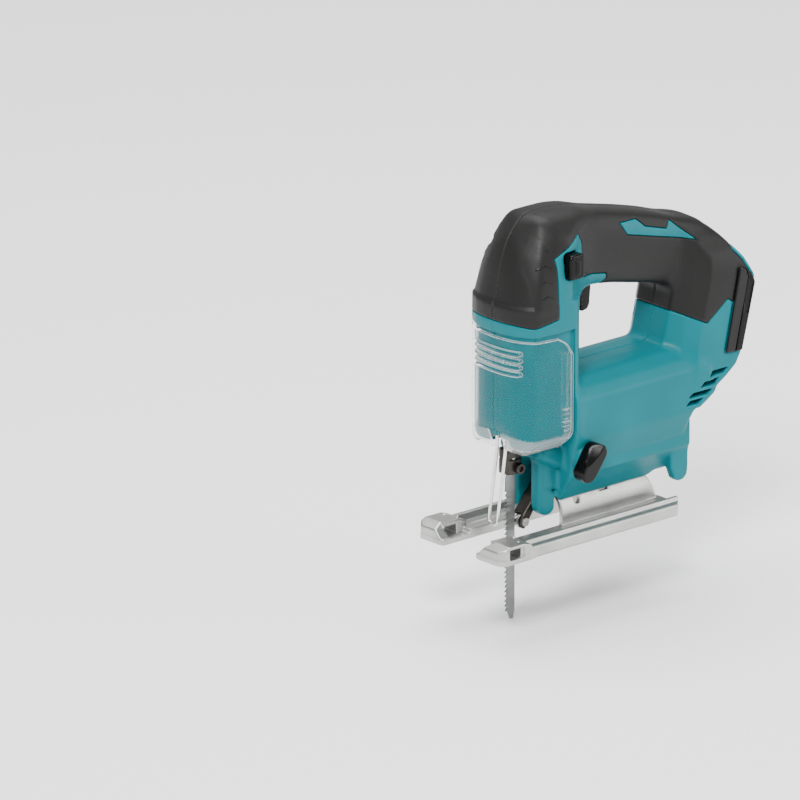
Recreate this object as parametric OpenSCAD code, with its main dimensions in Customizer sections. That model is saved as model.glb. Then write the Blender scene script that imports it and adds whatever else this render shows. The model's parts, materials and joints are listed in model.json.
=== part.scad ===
// Cordless top-handle jigsaw, built as the real machine comes apart.
// Forward (the cutting direction) is -X, the operator's left is -Y, up is +Z.
// The origin is on the sole plane, on the centre line, at the back edge of the blade.

/* [Base plate] */
// Overall width of the sole
base_w = 76; // [74:1:78]
// Front tip of the sole's two toes, along X
base_front = -44; // [-46:1:-43]
// Rear end of the sole, along X
base_rear = 103; // [101:1:103]
// Thickness of the deck between the two rails
deck_t = 6; // [5:0.5:6]
// Height of the raised ridge along each rail
ridge_h = 10; // [9:0.5:10]
// Clear width of the fork around the blade
fork_gap = 26; // [25:0.5:27]
// Outer radius of the tilting saddle
saddle_r = 17.5; // [17:0.5:17.5]
// Height of the bevel axis above the sole
tilt_z = 11; // [11:0.5:11.5]

/* [Blade and stroke] */
// Length of the up-and-down stroke
stroke = 26; // [22:1:26]
// Thickness of the saw blade
blade_t = 1.2; // [1:0.1:1.4]
// How far the blade reaches below the sole at the bottom of the stroke
blade_reach = 51; // [45:1:60]
// Spacing of the saw teeth
tooth_pitch = 3; // [2.5:0.5:4]

/* [Drive] */
// Module of the gear pair
gear_module = 0.8; // [0.8:0.1:0.8]
// Teeth on the motor pinion
pinion_teeth = 12; // [12:1:12]
// Teeth on the crank gear
gear_teeth = 60; // [60:1:60]
// Height of the motor axis above the sole
motor_z = 76; // [75.5:0.5:76]
// Outer radius of the motor can
can_r = 19; // [18:0.5:19]

/* [Housing] */
// Half of the width over the motor bulge
bulge_half = 31; // [31:0.5:32]
// Thickness of the rubber skin and of the clear cover
skin = 2; // [1.8:0.1:2]
// Depth from the outer surface to the inside of the shell
shell = 4.2; // [4:0.1:4.2]

/* [Hidden] */
$fn = 48;

teal = [0.0, 0.55, 0.6];
rubber_grey = [0.25, 0.24, 0.24];
black = [0.1, 0.1, 0.1];
steel = [0.72, 0.73, 0.74];
dark_steel = [0.35, 0.33, 0.31];
cast_alloy = [0.7, 0.71, 0.69];
copper = [0.75, 0.42, 0.22];
brass = [0.8, 0.65, 0.3];
clear = [0.85, 0.92, 0.94, 0.35];
circuit_green = [0.1, 0.4, 0.2];

gap = 0.3;                 // clearance between pieces that move past each other
run = 0.04;                // radial clearance of a running fit
far = 60;                  // half-width that reaches past everything

gear_r = gear_module * gear_teeth / 2;
pinion_r = gear_module * pinion_teeth / 2;
gear_z = motor_z + gear_r + pinion_r;
crank_r = stroke / 2;
gear_x = [12.5, 20];       // front and rear faces of the gear pair
plunger_x = -3.5;
plunger_r = 4;
knob_at = [32, 49];        // axis of the orbit knob, X and Z
pivot_at = [15.5, 20];     // axis of the roller lever
roller_at = [4.5, 9.3];    // axis of the guide roller
roller_r = 4.2;
cross_at = [23, 33.4];     // cross bar at the lever's upper end
rod_at = [22.8, 9];        // orbit rod, X and Y
trigger_at = [49, 165];    // axis of the trigger
lock_at = [20.5, 171];     // axis of the lock button
screws_at = [[28, 190], [26, 143.5], [1, 179], [11, 52.3], [106, 44], [36, 97.5],
             [131, 79], [112.6, 112], [138, 147], [64, 183]];
gear_screw_y = [-12.8, 12.8];  // the gear housing's four screws
gear_screw_z = [110, 124];
knob_y = bulge_half + gap; // inner face of the orbit knob, left of the centre
seat_rear = 98;            // rear end of the housing's seat for the tilting saddle
seat_wall = 3.2;           // wall between that seat and the inside
teeth_top = 30;            // height of the blade's first tooth
lead_route = [[124, 133.5], [117, 150], [96, 158], [89.6, 160]];

// ---- small helpers ----

function unit(v) = v / norm(v);
function left_of(v) = [-v[1], v[0]];
// Moves every edge of an anticlockwise outline inwards by d.
function inset(p, d) = [for (i = [0 : len(p) - 1])
    let (a = p[(i + len(p) - 1) % len(p)], b = p[i], c = p[(i + 1) % len(p)],
         m = left_of(unit(b - a)), n = left_of(unit(c - b)))
    b + d * (m + n) / (1 + m * n)];
// A half outline [along, half width] with its mirror image, anticlockwise.
function both_sides(p) = concat(
    [for (i = [0 : len(p) - 1]) [p[i][0], -p[i][1]]],
    [for (i = [len(p) - 1 : -1 : 0]) if (p[i][1] > 0) p[i]]);
// The same for a front section, where the half width comes first.
function both_flanks(p) = concat(p,
    [for (i = [len(p) - 1 : -1 : 0]) if (p[i][0] > 0) [-p[i][0], p[i][1]]]);
function arc(c, r, a0, a1, n) = [for (i = [0 : n])
    let (a = a0 + (a1 - a0) * i / n) c + r * [cos(a), sin(a)]];

module side(p, y0 = -far, y1 = far) {
    translate([0, y1, 0]) rotate([90, 0, 0]) linear_extrude(y1 - y0) polygon(p);
}
module plan(p, z0, z1) { translate([0, 0, z0]) linear_extrude(z1 - z0) polygon(p); }
module section(p, x0, x1) {
    translate([x0, 0, 0]) rotate([90, 0, 90]) linear_extrude(x1 - x0) polygon(p);
}
module block(a, b) { translate(a) cube(b - a); }
module xrod(x0, x1, r, y = 0, z = 0) {
    translate([x0, y, z]) rotate([0, 90, 0]) cylinder(h = x1 - x0, r = r);
}
module yrod(y0, y1, r, x = 0, z = 0) {
    translate([x, y1, z]) rotate([90, 0, 0]) cylinder(h = y1 - y0, r = r);
}
module zrod(z0, z1, r, x = 0, y = 0) { translate([x, y, z0]) cylinder(h = z1 - z0, r = r); }
module both() { for (s = [0, 1]) mirror([0, s, 0]) children(); }

// ---- outer form of the housing ----

column_side = [[-12, 57], [34.5, 57], [34.5, 150], [-18.5, 150], [-18.7, 133], [-18.7, 75]];
column_plan = both_sides([[-18.7, 0], [-18.2, 8], [-16.2, 16], [-12.8, 23], [-8.5, 28.3],
    [4, 29.6], [21.8, 30.5], [28, 28.5], [32.5, 22.5], [34.5, 14]]);
column_section = both_flanks([[21, 57], [30.6, 67], [30.6, 155]]);

head_side = [[-18.7, 133], [34.5, 133], [34.5, 147], [37, 148], [54, 146.8], [54, 195.8],
    [44, 198.1], [30, 200.4], [18, 201.3], [9, 200.5], [1, 197], [-5.5, 190], [-10, 180],
    [-13, 170], [-15.5, 158], [-18, 146]];
head_plan = both_sides([[-18.7, 0], [-18.2, 8], [-16.2, 16], [-12.8, 23], [-8.5, 28.3],
    [4, 29.6], [20, 30.5], [28, 29], [34, 25.5], [40, 21.5], [46, 18.5], [54, 17.2]]);
head_section = both_flanks([[30.6, 130], [30.6, 165], [28, 178], [24, 187], [17, 195],
    [8, 200], [0, 201.5]]);

handle_slope = -12.2;
handle_mid = [70, 167];
handle_side = [[40, 148], [54, 146.8], [66, 145.6], [97, 138.8], [128, 130], [128, 174],
    [117, 177.3], [102, 182.8], [83, 188.4], [65, 192.8], [40, 198.9]];
handle_section = both_flanks([[6, -26], [12, -22.5], [16, -15], [17, -7], [17, 8], [15, 16],
    [10.5, 22], [5, 25], [0, 26]]);

rear_side = [[100, 78], [121, 63], [132.6, 70], [142.6, 76], [150.6, 82], [154.6, 89],
    [160.5, 112], [165, 134.5], [158, 147], [150, 156], [141, 166.5], [128, 173.6],
    [118, 172], [112, 137], [103, 100]];
rear_plan = both_sides([[100, 12.5], [106, 17], [114, 24], [124, 29], [140, bulge_half],
    [166, bulge_half]]);
rear_section = both_flanks([[bulge_half, 55], [bulge_half, 138], [27, 152], [20, 163],
    [10, 171], [0, 174]]);

bulge_side = [[22.3, 50], [114, 50], [117, 60], [132, 69.6], [126, 90], [106, 100.5],
    [22.3, 100.5]];
bulge_section = both_flanks([[26, 48], [bulge_half, 56], [bulge_half, 86], [26, 93],
    [19, 98], [9, 100.5]]);

lower_side = [[22.5, 20.5], [93, 20.5], [97, 23.5], [118, 23.5], [118, 58], [22.5, 58]];
lower_section = both_flanks([[15, 20.5], [20, 30], [26, 38.5], [26, 58]]);

module column(d) {
    intersection() {
        side(inset(column_side, d));
        plan(inset(column_plan, d), 50, 160);
        section(inset(column_section, d), -30, 60);
    }
}
module head(d) {
    intersection() {
        side(inset(head_side, d));
        plan(inset(head_plan, d), 130, 210);
        section(inset(head_section, d), -30, 60);
    }
}
module handle(d) {
    intersection() {
        side(inset(handle_side, d));
        translate([handle_mid[0], 0, handle_mid[1]]) rotate([0, -handle_slope, 0])
            section(inset(handle_section, d), -40, 65);
    }
}
module rear(d) {
    intersection() {
        side(inset(rear_side, d));
        plan(inset(rear_plan, d), 50, 180);
        section(inset(rear_section, d), 95, 170);
    }
}
module bulge(d) {
    intersection() {
        side(inset(bulge_side, d));
        section(inset(bulge_section, d), 20, 134);
    }
}
module lower(d) {
    intersection() {
        side(inset(lower_side, d));
        section(inset(lower_section, d), 20, 120);
    }
}
module body(d) { column(d); head(d); handle(d); rear(d); bulge(d); lower(d); }

// ---- zones of the skin, seen from the side ----

head_rubber = [[-30, 146], [-16, 146], [-9.5, 140.5], [10, 143], [10, 182], [12, 186],
    [31, 187], [36, 165], [50, 161], [70, 157], [70, 152], [54, 140], [90, 130], [104, 121],
    [112, 117], [127, 104], [141, 122], [152, 112], [170, 130], [170, 210], [-30, 210]];
handle_inlay = [[80, 178], [94, 178.5], [101, 173], [117, 168], [120, 172.5], [138, 157.5],
    [84, 170]];
module rubber_zone(y0, y1) {
    difference() {
        side(head_rubber, y0, y1);
        side(handle_inlay, y0, y1);
        block([150, y0, 90], [170, y1, 160]);
    }
}
module cover_zone(g) { block([-30, -far, 50], [21.5 + g, far, 131.5 + g]); }

// ---- housing halves ----

trigger_slot = [[41.5, 140], [60, 140], [60, 156], [41.5, 156]];
rear_channel = [[147, 90], [180, 90], [190, 170], [161.7, 170]];
rail_slot = [[150.2, 90], [154.2, 90], [165.9, 170], [161.7, 170]];
rear_cavity = [[104, 84], [122, 69], [138, 78], [143.5, 92], [152, 132], [142, 152],
    [126, 166], [116, 150]];
chin_side = [[4, 57.5], [4, 51], [18, 43], [24, 41], [24, 57.5]];
horn_side = concat([[8, 57], [8, 20]], arc([15, 20], 7, 180, 360, 12),
    [[22, 26], [18.3, 28], [18.3, 46], [24, 46], [24, 57]]);
lug_side = [[105.5, 40], [105.5, 24], [107, 18], [110, 15.8], [114, 15.8], [117.5, 19],
    [118, 26], [118, 40]];

module cavity() {
    difference() {
        union() {
            column(shell);
            head(shell);
            handle(shell);
            bulge(shell);
            lower(shell);
            intersection() {
                side(rear_cavity, -25, 25);
                rear(shell);
            }
            block([20, -16, 90], [30, 16, 100]);
            block([26.7, -20, 44], [110, 20, 62]);
            block([96, -15, 70], [112, 15, 95]);
            block([10, -12, 140], [29, 12, 160]);
        }
        xrod(20, seat_rear + seat_wall, saddle_r + gap + seat_wall, 0, tilt_z);
        for (x = [43, 84]) block([x, -far, 40], [x + 3, far, 105]);
        block([106, -far, 60], [111, far, 95]);
    }
}
module motor_room() {
    xrod(30.2, 106.5, can_r, 0, motor_z);
    xrod(100, 111, 7, 0, motor_z);
}
module openings() {
    block([-12.3, -8.8, 50], [4, 8.8, 67.5]);
    block([18.4, -6, 26], [27.5, 13, 62]);
    side(trigger_slot, -9.4, 9.4);
    side(rear_channel, -22, 22);
    side(rail_slot, -26, 26);
    block([5, -5.2, 10], [25, 5.2, 41]);
    translate([lock_at[0], 0, lock_at[1]]) rotate([90, 0, 0])
        linear_extrude(2 * far, center = true) lock_outline(gap);
    for (i = [0 : 3])
        side([for (p = [[0, 0], [22, 0], [26, 2.6], [4, 2.6]])
            p + [108 + 4 * i, 63.5 + 4.6 * i]]);
}
module screw_bosses() {
    intersection() {
        body(1);
        for (p = screws_at) yrod(-far, far, 3.6, p[0], p[1]);
    }
}
module shell_solid() {
    difference() {
        union() {
            difference() {
                body(0);
                difference() {
                    rubber_zone(-far, far);
                    body(skin);
                }
                difference() {
                    cover_zone(gap);
                    body(skin + gap);
                }
                cavity();
            }
            difference() {
                screw_bosses();
                difference() {
                    cover_zone(gap);
                    body(skin + gap);
                }
                difference() {
                    rubber_zone(-far, far);
                    body(skin);
                }
            }
            side(chin_side, -20, 20);
            both() side(horn_side, 5, 11);
            both() side(lug_side, 18, 24);
        }
        motor_room();
        openings();
        xrod(20, seat_rear, saddle_r + gap, 0, tilt_z);
        yrod(-12, 12, 2.5, pivot_at[0], pivot_at[1]);
        for (p = screws_at) {
            yrod(-far, far, 1.8, p[0], p[1]);
            yrod(8, far, 3.2, p[0], p[1]);
        }
        zrod(20, 50, 3, 58);
        for (y = gear_screw_y, z = gear_screw_z) xrod(30, 33.4, 1.6, y, z);
    }
}
module left_housing() {
    color(teal) difference() {
        union() {
            intersection() {
                shell_solid();
                block([-60, -far, 0], [180, 0, 210]);
            }
            yrod(-bulge_half, -20, 9.5, knob_at[0], knob_at[1]);
        }
        yrod(-32, -8, 6, knob_at[0], knob_at[1]);
    }
}
module right_housing() {
    color(teal) intersection() {
        shell_solid();
        block([-60, 0, 0], [180, far, 210]);
    }
}
module grip_skin(y0, y1) {
    difference() {
        intersection() {
            union() { column(0); head(0); handle(0); rear(0); }
            rubber_zone(y0, y1);
        }
        body(skin);
        bulge(0);
        side(rear_channel, -22, 22);
        side(rail_slot, -26, 26);
        translate([lock_at[0], 0, lock_at[1]]) rotate([90, 0, 0])
            linear_extrude(2 * far, center = true) lock_outline(gap);
        side(trigger_slot, -9.4, 9.4);
        for (p = screws_at) yrod(0, far, 3.2, p[0], p[1]);
    }
}
module left_grip() { color(rubber_grey) grip_skin(-far, 0); }
module right_grip() { color(rubber_grey) grip_skin(0, far); }
module housing_screws() {
    color(steel) for (p = screws_at) difference() {
        union() {
            yrod(-12, 8, 1.8, p[0], p[1]);
            yrod(8, 10.4, 3, p[0], p[1]);
        }
        translate([p[0], 11, p[1]]) rotate([90, 0, 0]) cylinder(h = 2.2, r = 1.4, $fn = 6);
    }
}

// ---- rear end: pads, terminals and electronics ----

pad_side = [[140, 91.5], [153.8, 91.5], [158.6, 112], [163.2, 134.5], [158, 143.5],
    [150.5, 146]];
module rear_pad() {
    difference() {
        side(pad_side, bulge_half, bulge_half + 2.2);
        for (i = [0 : 4]) side([for (p = [[148.5, 97], [151.5, 97], [152, 99.5], [149, 99.5]])
            p + i * [2.1, 8.6]], bulge_half + 1.2, bulge_half + 3);
    }
}
module left_rear_pad() { color(black) mirror([0, 1, 0]) rear_pad(); }
module right_rear_pad() { color(black) rear_pad(); }
module terminal_block() {
    color(black) difference() {
        side([[147.3, 90.2], [154, 90.2], [154, 103], [150.3, 106]], -16, 16);
        for (y = [-11, 0, 11]) block([150.5, y - 0.6, 92], [156, y + 0.6, 110]);
    }
}
module terminal_contacts() {
    color(brass) for (y = [-11, 0, 11]) block([150.5, y - 0.5, 92], [157, y + 0.5, 101.5]);
}
module control_board() { color(circuit_green) block([118, -19, 92], [119.6, 19, 132]); }
module heat_sink() {
    color(cast_alloy) {
        block([119.6, -12, 98], [122, 12, 124]);
        for (i = [-4 : 4]) block([122, i * 2.8 - 0.5, 98], [130, i * 2.8 + 0.5, 124]);
    }
}

// ---- trigger and switch ----

module switch_body() {
    color(black) difference() {
        block([62.5, -8.5, 151.5], [88, 8.5, 171]);
        xrod(60, 71, 1.8 + run, 0, 154.5);
        yrod(-far, far, 1.5, 84, 167);
    }
}
module switch_plunger() { color(steel) xrod(53.75, 68, 1.8, 0, 154.5); }
trigger_side = concat(arc(trigger_at, 4.2, 10, 170, 10),
    [[45.4, 151], [44.2, 145], [44.1, 138], [44.8, 133.6], [46.4, 132], [50.6, 132.8],
     [52.2, 135.5], [53.6, 150], [53.3, 158]]);
module trigger() {
    color(black) difference() {
        side(trigger_side, -8.6, 8.6);
        yrod(-far, far, 2 + run, trigger_at[0], trigger_at[1]);
    }
}
module trigger_pin() { color(steel) yrod(-11.5, 11.5, 2, trigger_at[0], trigger_at[1]); }
module lock_outline(g) {
    polygon(concat(arc([3, 5], 3 + g, 0, 90, 4), arc([-3, 5], 3 + g, 90, 180, 4),
        arc([-3, -5], 3 + g, 180, 270, 4), arc([3, -5], 3 + g, 270, 360, 4)));
}
module lock_button() {
    color(black) translate([lock_at[0], 0, lock_at[1]]) rotate([90, 0, 0]) {
        translate([0, 0, 20]) linear_extrude(14) lock_outline(0);
        translate([0, 0, -28.5]) linear_extrude(8.5) lock_outline(0);
        for (x = [-2.4, 0, 2.4]) translate([x - 0.5, -5, 34]) cube([1, 10, 0.7]);
        translate([-4, -5, -20]) cube([8, 10, 40]);
    }
}

// ---- orbit control ----

module orbit_knob() {
    color(black) difference() {
        translate([knob_at[0], 0, knob_at[1]]) rotate([90, 40, 0]) translate([0, 0, knob_y]) {
            linear_extrude(3) polygon(arc([0, 0], 10.5, 0, 345, 23));
            linear_extrude(8) polygon(concat(arc([7, 0], 6, -70, 70, 8),
                arc([-3, 0], 8.5, 80, 280, 12)));
            translate([-9, -0.8, 0]) cube([21, 1.6, 9]);
        }
        yrod(-36, -31, 3, knob_at[0], knob_at[1]);
    }
}
module orbit_shaft() {
    color(dark_steel) {
        yrod(-36, -knob_y, 3, knob_at[0], knob_at[1]);
        yrod(-knob_y, 2, 4, knob_at[0], knob_at[1]);
        difference() {
            yrod(2, 14, 4, knob_at[0], knob_at[1]);
            block([27, 2, 50.5], [37, 15, 55]);
        }
    }
}
module knob_bush() {
    color(dark_steel) difference() {
        yrod(-30.5, -20, 6, knob_at[0], knob_at[1]);
        yrod(-32, -19, 4 + run, knob_at[0], knob_at[1]);
    }
}
module orbit_rod() {
    color(steel) {
        zrod(36, 91.2, 1.6, rod_at[0], rod_at[1]);
        block([21, -3, 91.2], [24.3, 11, 93.2]);
        block([rod_at[0], 6, 53.5], [34, 12, 57]);
    }
}
module roller_lever() {
    color(dark_steel) difference() {
        union() {
            yrod(-4.6, 4.6, 5, pivot_at[0], pivot_at[1]);
            side([[11.5, 23], [12, 15.5], [4.5, 4.6], [1.8, 6], [1.4, 10], [3.2, 13.6]], -4.6, 4.6);
            side([[11.5, 23], [17.8, 17], [22.2, 28.8], [25, 32], [21, 35]], -4.6, 4.6);
            yrod(-4.6, 12, 2.5, cross_at[0], cross_at[1]);
        }
        yrod(-far, far, 2.5 + run, pivot_at[0], pivot_at[1]);
        yrod(-2.9, 2.9, roller_r + 0.5, roller_at[0], roller_at[1]);
        block([-2, -2.9, 2], [roller_at[0], 2.9, 14]);
        yrod(-far, far, 1.5, roller_at[0], roller_at[1]);
        block([-3, -6, 0], [1.2, 6, 20]);
    }
}
module pivot_pin() { color(steel) yrod(-11.6, 11.6, 2.5, pivot_at[0], pivot_at[1]); }
module roller_pin() {
    color(steel) {
        yrod(-4.6, 4.6, 1.5, roller_at[0], roller_at[1]);
        yrod(-5.6, -4.6, 2.6, roller_at[0], roller_at[1]);
    }
}
module guide_roller() {
    color(steel) difference() {
        translate([roller_at[0], 0, roller_at[1]]) rotate([90, 0, 0]) rotate_extrude()
            polygon([[1.5 + run, -2.6], [roller_r, -2.6], [roller_r, -0.85],
                [roller_r - 0.9, -0.75], [roller_r - 0.9, 0.75], [roller_r, 0.85],
                [roller_r, 2.6], [1.5 + run, 2.6]]);
    }
}

// ---- base plate and its clamp ----

shelf_plan = concat([[-17, fork_gap / 2], [-17, base_w / 2], [base_front + 4, base_w / 2],
    [base_front, base_w / 2 - 4]], arc([base_front + 5, 16], 5, 180, 235, 5),
    [[-37, 8.8], [-29, 8.8], [-24, 11]]);
block_plan = [[-17, 20.5], [-17, base_w / 2], [base_front + 4, base_w / 2],
    [base_front, base_w / 2 - 4], [base_front, 16], [-36.6, 16], [-36.6, 20.5]];
block_side = [[base_front, 0], [-17, 0], [-17, 8.8], [-25, 11.4], [-38, 11.4], [base_front, 9]];
block_section = [[16, 0], [base_w / 2, 0], [base_w / 2, 12], [20.5, 12], [20.5, 9], [16, 3.4]];
module toe() {
    plan(shelf_plan, 0, 3.4);
    intersection() {
        plan(block_plan, 0, 12);
        side(block_side);
        section(block_section, -50, 0);
    }
}
rail_section = [[fork_gap / 2, 0], [base_w / 2 - 1.5, 0], [base_w / 2, 1.5], [base_w / 2, 7.6],
    [32.5, 7.6], [32, ridge_h], [29.5, ridge_h], [29, deck_t], [fork_gap / 2, deck_t]];
module base_plate() {
    color(cast_alloy) difference() {
        union() {
            both() {
                toe();
                section(rail_section, -20, base_rear);
            }
            block([90, -29, 0], [base_rear, 29, deck_t]);
            difference() {
                xrod(22.8, 98, saddle_r, 0, tilt_z);
                block([20, -20, -10], [104, 20, 0]);
                side([[89, 30], [99, 6], [110, 6], [110, 30]]);
            }
        }
        xrod(20, 88, saddle_r - 3, 0, tilt_z);
        block([20, 3 - saddle_r, -1], [88, saddle_r - 3, tilt_z]);
        block([-36.6, -far, 3.4], [-27.5, far, 8.9]);
        translate([58, 0, tilt_z]) rotate([0, 90, 0]) rotate([0, 0, 122])
            rotate_extrude(angle = 116) translate([saddle_r - 5, -3.1]) square([8, 6.2]);
        yrod(-far, -5, 2.2, 36, 19);
        for (s = [-1, 1]) translate([base_rear, s * base_w / 2, 0]) rotate([0, 0, 45])
            cube([9, 9, 40], center = true);
    }
}
module saddle_bracket() {
    color(cast_alloy) difference() {
        block([46, -12, 31.5], [70, 12, 45]);
        xrod(40, 80, saddle_r + gap + seat_wall, 0, tilt_z);
        zrod(20, 50, 2.5, 58);
    }
}
module saddle_clamp() {
    color(dark_steel) difference() {
        intersection() {
            xrod(50, 66, saddle_r - 3 - gap, 0, tilt_z);
            block([50, -7, 15], [66, 7, 40]);
        }
        xrod(40, 80, saddle_r - 6.5, 0, tilt_z);
        zrod(10, 50, 2.5, 58);
    }
}
module saddle_bolt() {
    color(dark_steel) difference() {
        union() {
            zrod(tilt_z + saddle_r - 7.5, 44, 2.5, 58);
            zrod(16, tilt_z + saddle_r - 7.4, 4.2, 58);
        }
        translate([58, 0, 15]) cylinder(h = 3.6, r = 2.3, $fn = 6);
    }
}
module wire_guard() {
    top = [-10.2, 3.7, 90];
    bend = [-10.2, 3.7, 57];
    foot = [-16.4, 3.7, 11.5];
    lean = atan2(bend[0] - foot[0], bend[2] - foot[2]);
    color(steel) {
        for (s = [-1, 1]) {
            zrod(bend[2], top[2], 1, top[0], s * top[1]);
            translate([foot[0], s * foot[1], foot[2]]) rotate([0, lean, 0])
                cylinder(h = norm(bend - foot), r = 1);
            translate([bend[0], s * bend[1], bend[2]]) sphere(r = 1.05);
            translate([foot[0], s * foot[1], foot[2]]) sphere(r = 1.05);
        }
        yrod(-foot[1], foot[1], 1, foot[0], foot[2]);
    }
}

// ---- dust cover ----

module dust_cover() {
    color(clear) difference() {
        intersection() {
            column(0);
            block([-30, -far, 50], [21.5, far, 131.5]);
        }
        column(skin);
        block([-9.5, -20.4, 50], [22, 20.4, 60]);
        block([-30, -5.6, 50], [0, 5.6, 70]);
        block([21, -far, 120], [22, far, 140]);
        for (z = [112, 117, 122]) block([-30, -13, z], [-10, 13, z + 1.6]);
        for (s = [-1, 1]) translate([21.5, 0, 131.5]) rotate([0, 45, 0])
            cube([9, 2 * far, 9], center = true);
    }
}

// ---- gear housing, bushes and bearings ----

module gear_housing() {
    color(cast_alloy) difference() {
        union() {
            plan(both_sides([[24.6, 21.5], [29.6, 13.5]]), 62, 128);
            block([-9.6, -11, 130], [29.6, 11, 138.5]);
            block([24.6, -11, 128], [29.6, 11, 130]);
            both() block([-8.8, 9.2, 62], [24.6, 12.8, 69]);
            both() side([[-8.8, 62], [3.6, 62], [3.6, 94], [-12.6, 94], [-12.6, 74]], 9.2, 12.8);
            block([-12.6, -12.8, 84.3], [3.6, 12.8, 94]);
            block([19.5, 5.5, 60], [24.6, 12.8, 69]);
        }
        xrod(20, 40, 7, 0, motor_z);
        xrod(20, 40, plunger_r, 0, gear_z);
        zrod(50, 100, 6, plunger_x);
        zrod(120, 150, 6, plunger_x);
        zrod(50, 71, 1.6 + run, rod_at[0], rod_at[1]);
        for (s = [-1, 1]) zrod(80, 90, 1, -10.2, s * 3.7);
        for (y = gear_screw_y, z = gear_screw_z) xrod(20, 40, 1.6, y, z);
    }
}
module gear_housing_screws() {
    color(dark_steel) for (y = gear_screw_y, z = gear_screw_z) difference() {
        union() {
            xrod(24.6, 33.4, 1.6, y, z);
            xrod(22.2, 24.6, 2.8, y, z);
        }
        xrod(21, 23.4, 1.2, y, z, $fn = 6);
    }
}
module bush(z0, z1) {
    color(copper) difference() {
        zrod(z0, z1, 6, plunger_x);
        zrod(z0 - 1, z1 + 1, plunger_r + run, plunger_x);
    }
}
module upper_bush() { bush(130, 138.5); }
module lower_bush() { bush(84.3, 94); }
module gear_shaft() {
    color(steel) {
        xrod(12.5, 30.2, 4, 0, gear_z);
        xrod(10.8, 12.2, 3, 0, gear_z);
        xrod(12.2, 12.5, 4, 0, gear_z);
    }
}
module ball_bearing(x0, x1) {
    color(steel) difference() {
        xrod(x0, x1, 7, 0, motor_z);
        xrod(x0 - 1, x1 + 1, 2.5 + run, 0, motor_z);
    }
}
module front_bearing() { ball_bearing(24.6, 29.6); }
module rear_bearing() { ball_bearing(106, 111); }

// ---- motor ----

module motor_can() {
    color(dark_steel) difference() {
        xrod(41, 93, can_r, 0, motor_z);
        xrod(40, 92.9, can_r - 2, 0, motor_z);
        xrod(90, 94, 12, 0, motor_z);
    }
}
module motor_magnets() {
    color(dark_steel) both() intersection() {
        difference() {
            xrod(46, 86, can_r - 2, 0, motor_z);
            xrod(45, 87, can_r - 4.4, 0, motor_z);
        }
        section([[0, motor_z], [far, motor_z - 70], [far, motor_z + 70]], 40, 90);
    }
}
module armature_shaft() { color(steel) xrod(10, 111, 2.5, 0, motor_z); }
module armature_core() {
    color(steel) difference() {
        xrod(49, 83, can_r - 5, 0, motor_z);
        xrod(40, 90, 2.5, 0, motor_z);
        for (i = [0 : 11]) translate([0, 0, motor_z]) rotate([i * 30, 0, 0])
            block([40, -0.7, can_r - 9], [90, 0.7, can_r]);
    }
}
module armature_windings() {
    color(copper) difference() {
        union() {
            xrod(43.5, 49, 11, 0, motor_z);
            xrod(83, 89, 11, 0, motor_z);
        }
        xrod(40, 90, 2.5, 0, motor_z);
    }
}
module commutator() {
    color(copper) difference() {
        xrod(92, 104, 9, 0, motor_z);
        xrod(90, 106, 2.5, 0, motor_z);
        for (i = [0 : 11]) translate([0, 0, motor_z]) rotate([i * 30 + 15, 0, 0])
            block([94, -0.2, 8.2], [103, 0.2, 10]);
    }
}
module cooling_fan() {
    color(black) difference() {
        union() {
            xrod(32, 33.5, can_r - 1, 0, motor_z);
            xrod(32, 40, 5, 0, motor_z);
            for (i = [0 : 10]) translate([0, 0, motor_z]) rotate([i * 360 / 11, 0, 0])
                block([33.5, -0.6, 4], [39.5, 0.6, can_r - 1.5]);
        }
        xrod(30, 42, 2.5, 0, motor_z);
    }
}
module brush_bracket() {
    color(black) difference() {
        union() {
            xrod(93.1, 95.6, can_r - 0.5, 0, motor_z);
            both() block([95.6, 9.9, motor_z - 4.5], [104.5, 18, motor_z + 4.5]);
        }
        xrod(92, 96, 11, 0, motor_z);
        both() block([97, 9, motor_z - 3], [103, 17, motor_z + 3]);
    }
}
module carbon_brushes() {
    color(black) both() difference() {
        block([97, 8, motor_z - 3], [103, 14.5, motor_z + 3]);
        xrod(90, 110, 9.1, 0, motor_z);
    }
}
module brush_springs() { color(steel) both() yrod(14.5, 17, 2.2, 100, motor_z); }
module lead(route, y) {
    for (i = [0 : len(route) - 2]) {
        run_v = route[i + 1] - route[i];
        translate([route[i][0], y, route[i][1]]) rotate([0, atan2(run_v[0], run_v[1]), 0])
            cylinder(h = norm(run_v), r = 1.3);
        translate([route[i + 1][0], y, route[i + 1][1]]) sphere(r = 1.4);
    }
}
module motor_leads() {
    color(black) for (y = [-5, 5]) lead(lead_route, y);
}

// ---- gears ----

function involute(rb, t) = rb * [cos(t) + t * PI / 180 * sin(t), sin(t) - t * PI / 180 * cos(t)];
function turn(p, a) = [p[0] * cos(a) - p[1] * sin(a), p[0] * sin(a) + p[1] * cos(a)];
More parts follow.
